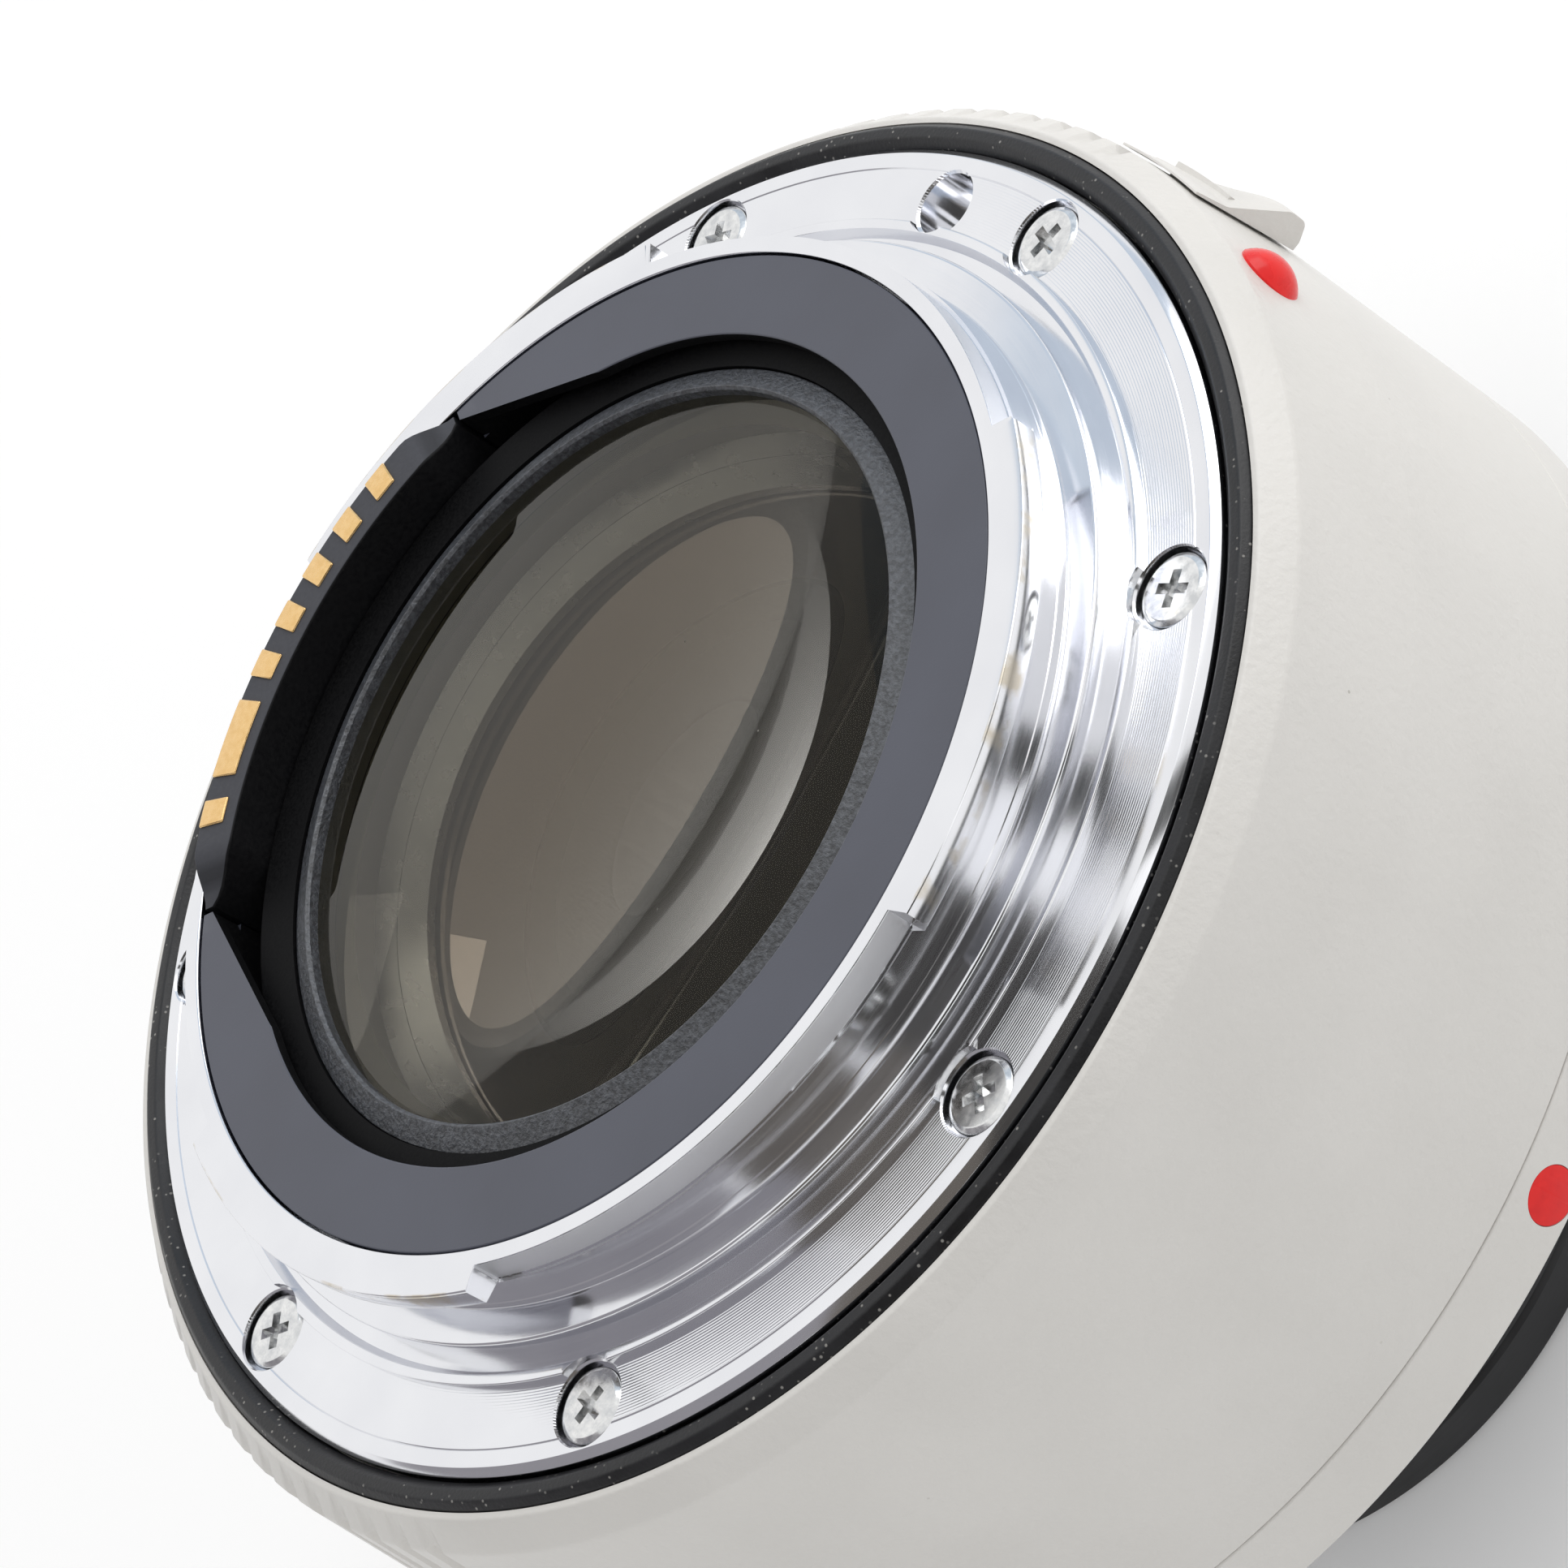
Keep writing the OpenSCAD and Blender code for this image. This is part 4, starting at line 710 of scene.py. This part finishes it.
def makeSealAndCover():
    seal = [(32.55, -1.7), (33.9, -1.7), (33.9, -0.55, 0.3), (33.55, -0.17, 0.25), (33.0, -0.17, 0.25),
        (32.55, -0.6, 0.2)]
    dress(turnRing("mountSeal", seal, 360, 5), sealRubber, "housing", ["mount_seal"])
    cover = {"opening": 20.2, "outer": 24.2, "top": 5.1, "plate": 0.6, "skirt": 0.85, "foot": 1}
    low = cover["top"] - cover["plate"]
    wall = cover["outer"] - cover["skirt"]
    corners = [(cover["opening"], low), (wall, low), (wall, cover["foot"]), (cover["outer"], cover["foot"]),
        (cover["outer"], cover["top"], 0.08), (cover["opening"], cover["top"], 0.1)]
    piece = turnRing("rearCover", corners, 360, 3)
    sides = {"wide": (-11.21, 16.81), "narrow": (-21.69, 12.0), "beyond": (-26, 9.9)}
    outline = [sides["wide"], sides["narrow"], sides["beyond"]]
    outline += [(x, -y) for x, y in reversed(outline)]
    wedge = drawPath("coverSides", [Vector((x, y, low - 1)) * mm for x, y in outline], True)
    bpy.ops.mesh.edge_face_add()
    bpy.ops.mesh.extrude_region_move(TRANSFORM_OT_translate={"value": (0, 0, 3 * mm)})
    bpy.ops.mesh.select_all(action="SELECT")
    bpy.ops.mesh.normals_make_consistent(inside=False)
    bpy.ops.object.mode_set(mode="OBJECT")
    notch = turnSector("coverNotch", [(20, 0), (25, 0), (25, 7), (20, 7)], 180, 33.2, 60)
    carve(piece, [wedge, notch])
    dress(piece, satinGrey, "housing", ["rear_cover"])
    piece.data.materials.append(deepBlack)
    for face in piece.data.polygons:
        inward = face.normal.x * face.center.x + face.normal.y * face.center.y < 0
        face.material_index = 1 if inward and abs(face.normal.z) < 0.5 else 0  # the black edge of the opening


makeSealAndCover()
print("seal and cover made")


# contact block of the rear mount with its gold pads

def makeRearContacts():
    block = {"inner": 21.6, "outer": 24.1, "top": 6.3, "headFoot": 1.1, "foot": -3.85, "half": 25.8, "headHalf": 32.6,
        "rampFrom": 26.5, "rampDrop": 1.15, "flare": 1.9}
    corners = [(block["inner"], block["headFoot"]), (block["outer"], block["headFoot"]),
        (block["outer"], block["top"], 0.12), (block["inner"], block["top"], 0.12)]
    piece = turnSector("rearContactBlock", corners, 180, block["headHalf"], 72)
    takeUp(piece)
    bpy.ops.object.mode_set(mode="EDIT")
    columns = {}
    for v in bmesh.from_edit_mesh(piece.data).verts:
        off = abs(math.degrees(math.atan2(v.co.y, -v.co.x)))
        if off > block["rampFrom"]:
            if v.co.z > 5 * mm:
                columns.setdefault((round(off, 3), "top"), []).append(v.index)
            if math.hypot(v.co.x, v.co.y) < (block["inner"] + 0.2) * mm:
                columns.setdefault((round(off, 3), "inner"), []).append(v.index)
    for (off, side), members in columns.items():
        pickVerts(piece, members)
        part = (off - block["rampFrom"]) / (block["headHalf"] - block["rampFrom"])
        if side == "top":
            bpy.ops.transform.translate(value=(0, 0, -block["rampDrop"] * part * part * (3 - 2 * part) * mm))
        else:
            factor = 1 + part ** 1.5 * block["flare"] / block["inner"]
            bpy.ops.transform.resize(value=(factor, factor, 1), center_override=(0, 0, 0))
    bpy.ops.object.mode_set(mode="OBJECT")
    softenEdges(piece, 0.1, 3, 50)
    leg = [(block["inner"] + 0.1, block["foot"]), (block["outer"] - 0.1, block["foot"]),
        (block["outer"] - 0.1, block["headFoot"] + 0.3), (block["inner"] + 0.1, block["headFoot"] + 0.3)]
    carve(piece, [turnSector("blockLeg", leg, 180, block["half"], 60)], "UNION")
    dress(piece, mouldedBlack, "housing", ["rear_contact_block"])
    pads = {"inner": 22.375, "outer": 24.025, "low": 6.25, "top": 6.42, "half": 1.67}
    outline = [(pads["inner"], pads["low"]), (pads["outer"], pads["low"]), (pads["outer"], pads["top"]),
        (pads["inner"], pads["top"])]
    row = []  # each pad covers its first to its last place
    for first, last in ((0, 0), (1, 1), (2, 2), (3, 3), (4, 4), (5, 6), (7, 7)):
        middle = contactAngle((first + last) / 2)
        half = pads["half"] + (last - first) * contacts["pitch"] / 2
        pad = turnSector("pad", outline, middle, half, 10 + 14 * (last - first))
        softenEdges(pad, 0.1, 3, 50)
        row.append(pad)
    dress(weld("rearContactPads", row), contactGold, "housing", ["rear_contact_pads"])


makeRearContacts()
print("rear contacts made")


# lens cells, retaining rings and cemented glass groups

def bulge(vertex, curve, radius, count):
    # points of a lens surface from the axis out; a positive curve bulges to the rear
    size = abs(curve)
    side = 1 if curve > 0 else -1
    return [(radius * i / count, vertex - side * (size - math.sqrt(size ** 2 - (radius * i / count) ** 2)))
        for i in range(count + 1)]


def makeGlass(name, radius, rear, front, finish, edge, nodes, steps=160):
    outline = bulge(*rear, radius, 20) + list(reversed(bulge(*front, radius, 20)))
    piece = turnRing(name, outline, steps, closed=False)
    dress(piece, finish, "housing", nodes, 40)
    piece.data.materials.append(edge)
    for face in piece.data.polygons:
        face.material_index = 1 if abs(face.normal.z) < 0.3 else 0  # the ground edge


def makeOptics():
    makeGlass("rearDoublet", 18.2, (5.08, 115), (-2.6, -122), rearGlass, oliveEdge, ["lens_7", "lens_6"])
    makeGlass("middleTriplet", 15.9, (-8, -79.8), (-18.5, -79.8), innerGlass, brownEdge,
        ["lens_5", "lens_4", "lens_3"])
    makeGlass("frontDoublet", 14.3, (-39.7, -49.97), (-45.2, -62.06), frontGlass, oliveEdge, ["lens_2", "lens_1"])
    rearRing = [(17.85, 3.66), (19.1, 3.66), (19.1, 3.84, 0.04), (18.0, 4.36, 0.06), (17.85, 4.2, 0.04)]
    dress(turnRing("rearRetainer", rearRing, 256), grainedBlack, "housing", ["rear_retainer"])
    middleRing = [(14.9, -6.35), (15.98, -6.35), (15.98, -4.67), (14.9, -5.75)]
    dress(turnRing("middleRetainer", middleRing, 192), bareSeat, "housing", ["mid_retainer"])
    frontRetainer = [(13.4, -46.4, 0.15), (17.5, -46.4, 0.1), (17.5, -44.6), (14.35, -44.6), (14.35, -43.8),
        (13.4, -43.8)]
    dress(turnRing("frontRetainer", frontRetainer, 192), satinBlack, "housing", ["front_retainer"])
    rearCell = [(21.4, 4.01, 0.15), (19.15, 4.01), (19.15, 3.66), (18.3, 3.66), (18.3, -1.45), (16.9, -1.45),
        (16.9, -3.75), (16.0, -4.65), (16.0, -17.15), (14.9, -17.15), (14.9, -18.6), (17.55, -18.6), (17.55, -20.2),
        (21.15, -20.2, 0.1), (21.15, -17.5), (26, -17.5), (26, -15.5), (19.4, -15.5), (19.4, -3.4), (21.4, -3.4)]
    cell = turnRing("rearCell", rearCell, 192)
    carve(cell, [turnSector("cellNotch", [(21.4, -19), (28, -19), (28, -14), (21.4, -14)], 180, 33, 40)])
    dress(cell, deepBlack, "housing", ["rear_lens_cell"])
    for extra in (seatGrey, oliveEdge, bareSeat):
        cell.data.materials.append(extra)
    for face in cell.data.polygons:
        out, z = math.hypot(face.center.x, face.center.y) / mm, face.center.z / mm
        if 15.9 < out < 18.5 and -4.7 < z < -1.4:
            face.material_index = 2 if out > 17 else (3 if face.normal.z > 0.3 else 1)  # seat, slope and wall
    nose = {"outer": 19.6, "tip": -47, "back": -20.2, "rings": 6}
    outline = [(nose["outer"] - 0.5, nose["tip"], 0.12), (nose["outer"], nose["tip"] + 0.5, 0.12)]
    for i in range(nose["rings"]):
        z = -44.5 + i * 1.1
        outline += [(nose["outer"], z), (nose["outer"] - 0.25, z + 0.25), (nose["outer"], z + 0.5)]
    outline += [(nose["outer"], nose["back"], 0.1), (17.5, -20.2), (17.5, -18.6), (14.9, -18.6), (14.9, -20.2),
        (17, -22), (17, -33.96), (13.3, -35.76), (13.3, -37.56), (14.4, -37.56), (14.4, -44.6), (17.55, -44.6),
        (17.55, -47, 0.15)]
    dress(turnRing("frontCell", outline, 256, 3), satinBlack, "housing", ["front_lens_cell"])


makeOptics()
print("optics made")


# release lever, locking pin and the red bead beside the lever

def makeLever():
    lever = {"half": 5.2, "rear": -2.8, "end": -9.1, "crest": 37.5, "stemHalf": 3.6, "fallFrom": 70.2,
        "low": 36.05, "fall": 0.8}
    cap = [(35.62, lever["rear"]), (35.74, lever["rear"], 0.05), (35.98, -4.7, 1.2), (lever["crest"], -7.7, 0.7),
        (lever["crest"], -8.7, 0.45), (36.6, lever["end"], 0.2), (36.15, lever["end"])]
    piece = turnSector("releaseLever", cap, leverMiddle, lever["half"], 36, 6)
    takeUp(piece)
    bpy.ops.object.mode_set(mode="EDIT")
    columns = {}
    for v in bmesh.from_edit_mesh(piece.data).verts:
        if math.hypot(v.co.x, v.co.y) > (lever["low"] + 0.12) * mm:
            columns.setdefault(round(math.degrees(math.atan2(v.co.y, v.co.x)), 3), []).append(v.index)
    for azimuth, members in columns.items():
        part = (azimuth - lever["fallFrom"]) / (leverMiddle + lever["half"] - lever["fallFrom"])
        if part <= 0:
            continue
        pickVerts(piece, members)
        factor = 1 - lever["fall"] * part * part * (3 - 2 * part)  # the hump eases down into the barrel
        bpy.ops.transform.resize(value=(factor, factor, 1), center_override=polarSpot(lever["low"], azimuth))
    bpy.ops.object.mode_set(mode="OBJECT")
    softenEdges(piece, 0.3, 4, 50)
    stem = [(32.25, -7.8), (36.4, -7.8), (36.4, -5.2), (32.25, -5.2)]
    carve(piece, [turnSector("leverStem", stem, leverMiddle, lever["stemHalf"], 12)], "UNION")
    dress(piece, paleEnamel, "release", ["release_lever"])
    pin = [(0, -13.8), (1.3, -13.8), (1.3, -28.6, 0.4), (0, -28.6)]
    post = turnPost("lockPin", pin, polarSpot(*lockSpot), 64)
    dress(post, turnedChrome, "release", ["lock_pin"])
    bead = {"azimuth": 60, "height": -4.3, "radius": 1.6, "rise": 0.9, "sunk": 0.8, "surface": 35.6}
    ball = (bead["radius"] ** 2 + bead["rise"] ** 2) / (2 * bead["rise"])
    dome = [(bead["radius"] * i / 10, bead["rise"] - ball + math.sqrt(ball ** 2 - (bead["radius"] * i / 10) ** 2))
        for i in range(11)]
    outline = dome + [(bead["radius"], -bead["sunk"]), (0, -bead["sunk"])]
    drop = turnRing("indexBead", outline, 64, closed=False)
    drop.data.transform(Matrix.Rotation(math.radians(bead["azimuth"]), 4, "Z")
        @ Matrix.Translation(Vector((bead["surface"], 0, bead["height"])) * mm) @ Matrix.Rotation(math.pi / 2, 4, "Y"))
    dress(drop, beadRed, "housing", ["rear_index_bead"])


makeLever()
print("lever made")


# front bayonet ring with its lugs, the throat behind it and the sprung contacts

def makeFrontMount():
    corners = [(27.05, -27.2, 0.12), (32.3, -27.2, 0.08), (32.3, -25.2), (28, -25.2), (28, -23.5), (27.05, -23.5)]
    piece = turnRing("frontBayonet", corners, 360, 3)
    lug = [(25.6, -25.8, 0.15), (27.5, -25.8), (27.5, -24.3), (25.6, -24.3, 0.15)]
    lugs = [turnSector("lug", lug, a, 25, 60, 2) for a in tabAngles]
    for one in lugs:
        softenEdges(one, 0.12, 2, 50)
    pocket = [(0, -28), (2.04, -28), (2.04, -27.22), (1.95, -27.12), (1.95, -26.35), (0, -26.35)]
    cutters = [turnPost("pocket", pocket, polarSpot(screwCircle, a)) for a in frontScrewAngles]
    hole = [(0, -28), (1.42, -28), (1.42, frontFace), (1.35, -27.1), (1.35, -24), (0, -24)]
    cutters.append(turnPost("pinHole", hole, polarSpot(*lockSpot)))
    carve(piece, [weld("frontCuts", cutters)])
    dress(weld("frontBayonet", [piece] + lugs), turnedChrome, "housing", ["front_bayonet"])
    barrel = [(27, -2.4), (31.25, -2.4), (31.25, -3), (32.3, -3), (32.3, -24.4), (31.25, -24.4), (31.25, -25.2),
        (28.05, -25.2), (28.05, -23.4), (27.3, -23.4), (27.3, -20, 0.2), (21.2, -20, 0.1), (21.2, -17.5), (27, -17.5),
        (27, -9.3), (26, -9.3), (26, -8.3), (27, -8.3)]
    throat = turnRing("mountBarrel", barrel, 256, 3)
    cuts = [turnSector("slideRoom", [(31.35, -14.2), (33, -14.2), (33, -2), (31.35, -2)], 82.8, 12.7, 30),
        turnSector("carriageRoom", [(28.2, -14.2), (31.6, -14.2), (31.6, -4.5), (28.2, -4.5)], 90, 4.5, 12),
        turnPost("pinRoom", [(0, -26), (1.35, -26), (1.35, -13), (0, -13)], polarSpot(*lockSpot)),
        turnSector("contactRoom", [(21, -21), (25.1, -21), (25.1, -16), (21, -16)], 180, 26.2, 40)]
    carve(throat, cuts)
    dress(throat, satinBlack, "housing", ["mount_barrel"])
    outline = [(21.8, -20.5, 0.15), (25, -20.5, 0.15), (25, -16.3), (21.8, -16.3)]
    block = turnSector("frontContactBlock", outline, contacts["middle"], 25.8, 60, 3)
    softenEdges(block, 0.12, 2, 50)
    bore = [(0, -21), (0.56, -21), (0.56, -20.5), (0.5, -20.44), (0.5, -19.4), (0.75, -19.4), (0.75, -16), (0, -16)]
    bores = [turnPost("pinBore", bore, polarSpot(contacts["pinCircle"], contactAngle(i)), 32)
        for i in range(contacts["count"])]
    carve(block, [weld("pinBores", bores)])
    dress(block, mouldedBlack, "housing", ["front_contact_block"])
    tip = [math.radians(a) for a in range(15, 91, 15)]
    pin = [(0, -21.38)] + [(0.45 * math.sin(a), -20.93 - 0.45 * math.cos(a)) for a in tip]  # round nose
    pin += [(0.45, -19.35), (0.7, -19.35), (0.7, -18.75), (0.3, -18.75), (0.3, -17.2), (0, -17.2)]
    for i in range(contacts["count"]):
        post = turnPost(f"sprungPin_{i + 1}", pin, polarSpot(contacts["pinCircle"], contactAngle(i)), 32)
        dress(post, contactGold, f"contact_{i + 1}", [f"contact_pin_{i + 1}"])


makeFrontMount()
print("front mount made")


# CAD nodes that stay get their finish

keptFinishes = {
    turnedChrome: ["rear_mount_shim"],
    platedScrew: ["contact_block_screws", "front_contact_screws", "lever_screws", "cell_screws", "board_screws"],
    springSteel: ["lug_springs", "contact_pin_springs", "lock_spring"],
    satinBlack: ["lever_slide"],
    boardGreen: ["circuit_board"],
    chipBlack: ["board_chips"],
    filmAmber: ["flex_cable"],
}
for finish, names in keptFinishes.items():
    for name in names:
        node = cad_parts[name]
        node.data.materials.clear()
        node.data.materials.append(finish)
print("kept nodes dressed")


# studio: pale floor, soft light, and the photograph's camera

def seenRays(tree):
    # 1 for rays from the camera, off metal and through glass
    path = tree.nodes.new("ShaderNodeLightPath")
    seen = sums(tree, "MAXIMUM", path.outputs["Is Camera Ray"], path.outputs["Is Glossy Ray"])
    return sums(tree, "MAXIMUM", seen, path.outputs["Is Transmission Ray"])


def makeStudio():
    studio = {"floor": -47, "fill": 0.66, "key": 3.0, "keyFrom": (-0.1, 0.78, 0.62), "keyDistance": 0.75, "keySize": 0.7,
        "side": 0.35, "sideFrom": (0.75, 0.1, 0.62)}
    letGo()
    bpy.ops.mesh.primitive_plane_add(size=8, location=(0, 0, studio["floor"] * mm))
    floor = bpy.context.object
    floor.name = "floor"
    pale = bpy.data.materials.new("paleFloor")
    pale.use_nodes = True
    tree = pale.node_tree
    shader = tree.nodes["Principled BSDF"]
    shader.inputs["Base Color"].default_value = (0.9, 0.9, 0.9, 1)
    shader.inputs["Roughness"].default_value = 0.9
    shader.inputs["Emission Color"].default_value = (1, 1, 1, 1)
    seen = seenRays(tree)
    tree.links.new(spread(tree, seen, 0, 1, 0, 0.15), shader.inputs["Emission Strength"])
    # from below the floor can't be seen, so the front mount shows
    side = tree.nodes.new("ShaderNodeNewGeometry")
    clear = tree.nodes.new("ShaderNodeBsdfTransparent")
    either = tree.nodes.new("ShaderNodeMixShader")
    tree.links.new(side.outputs["Backfacing"], either.inputs["Fac"])
    tree.links.new(shader.outputs["BSDF"], either.inputs[1])
    tree.links.new(clear.outputs["BSDF"], either.inputs[2])
    tree.links.new(either.outputs["Shader"], tree.nodes["Material Output"].inputs["Surface"])
    floor.data.materials.append(pale)

    world = bpy.data.worlds.new("softRoom")
    bpy.context.scene.world = world
    world.use_nodes = True
    tree = world.node_tree
    sky = tree.nodes["Background"]
    sky.inputs["Color"].default_value = (1, 1, 1, 1)
    seen = seenRays(tree)
    tree.links.new(spread(tree, seen, 0, 1, studio["fill"], 1), sky.inputs["Strength"])

    for name in ("key", "side"):
        towards = Vector(studio[name + "From"]).normalized()
        lamp = bpy.data.lights.new(name + "Light", "AREA")
        lamp.energy = studio[name]
        lamp.size = studio["keySize"]
        holder = bpy.data.objects.new(name + "Light", lamp)
        holder.location = towards * studio["keyDistance"]
        holder.rotation_euler = towards.to_track_quat("Z", "Y").to_euler()
        bpy.context.scene.collection.objects.link(holder)


def makeCamera():
    view = {"tilt": 0.934321, "azimuth": -7.5, "roll": -1.033529, "distance": 282.073, "focal": 7775.097, "frame": 1932,
        "aimRight": 0.020499, "aimUp": 0.000883}
    a = math.radians(view["azimuth"])
    out = Vector((math.sin(view["tilt"]) * math.cos(a), math.sin(view["tilt"]) * math.sin(a), math.cos(view["tilt"])))
    level = (Vector((0, 0, 1)) - out * out.z).normalized()
    side = level.cross(out)
    right = math.cos(view["roll"]) * side + math.sin(view["roll"]) * level
    up = -math.sin(view["roll"]) * side + math.cos(view["roll"]) * level
    ahead = (-out + view["aimRight"] * right + view["aimUp"] * up).normalized()
    right = (right - ahead * right.dot(ahead)).normalized()
    up = right.cross(ahead)
    lens = bpy.data.cameras.new("camera")
    lens.sensor_width = 36
    lens.lens = view["focal"] / view["frame"] * lens.sensor_width
    lens.clip_start = 0.005
    holder = bpy.data.objects.new("camera", lens)
    bpy.context.scene.collection.objects.link(holder)
    pose = Matrix((right, up, -ahead)).transposed().to_4x4()
    pose.translation = out * view["distance"] * mm
    holder.matrix_world = pose
    bpy.context.scene.camera = holder


def makePaintedReflection(name, azimuth, elevation, wide, tall, tone):
    # a glowing panel seen only in the metal: a painted reflection of a dim side of the room; it lights nothing
    a, e = math.radians(azimuth), math.radians(elevation)
    out = Vector((math.cos(e) * math.cos(a), math.cos(e) * math.sin(a), math.sin(e)))
    letGo()
    bpy.ops.mesh.primitive_plane_add(size=1, location=out * 0.55)
    panel = bpy.context.object
    panel.name = name
    panel.scale = (wide, tall, 1)
    panel.rotation_euler = out.to_track_quat("Z", "Y").to_euler()
    for ray in ("camera", "diffuse", "transmission", "volume_scatter", "shadow"):
        setattr(panel, "visible_" + ray, False)
    dim = bpy.data.materials.new(name)
    dim.use_nodes = True
    shader = dim.node_tree.nodes["Principled BSDF"]
    shader.inputs["Base Color"].default_value = (0, 0, 0, 1)
    shader.inputs["Roughness"].default_value = 1
    shader.inputs["Specular IOR Level"].default_value = 0
    # this glow is only a painted reflection: rays off the metal see it, nothing else does
    shader.inputs["Emission Color"].default_value = (*tone, 1)
    shader.inputs["Emission Strength"].default_value = 1
    panel.data.materials.append(dim)


makeStudio()
makeCamera()
# glowing panels that paint reflections into the metal
makePaintedReflection("paintedBlueReflection", 125, 34, 0.42, 0.55, (0.62, 0.7, 0.8))
makePaintedReflection("paintedDarkPost", 32.5, 34, 0.1, 0.55, (0.07, 0.07, 0.068))
makePaintedReflection("paintedDarkReflection", -11, 34, 0.32, 0.55, (0.055, 0.052, 0.049))
makePaintedReflection("paintedBrownReflection", -47, 34, 0.27, 0.55, (0.15, 0.135, 0.12))
makePaintedReflection("paintedGreyReflection", -102, 34, 0.72, 0.55, (0.31, 0.3, 0.32))
bpy.context.scene.view_settings.view_transform = "Standard"
print("studio set")
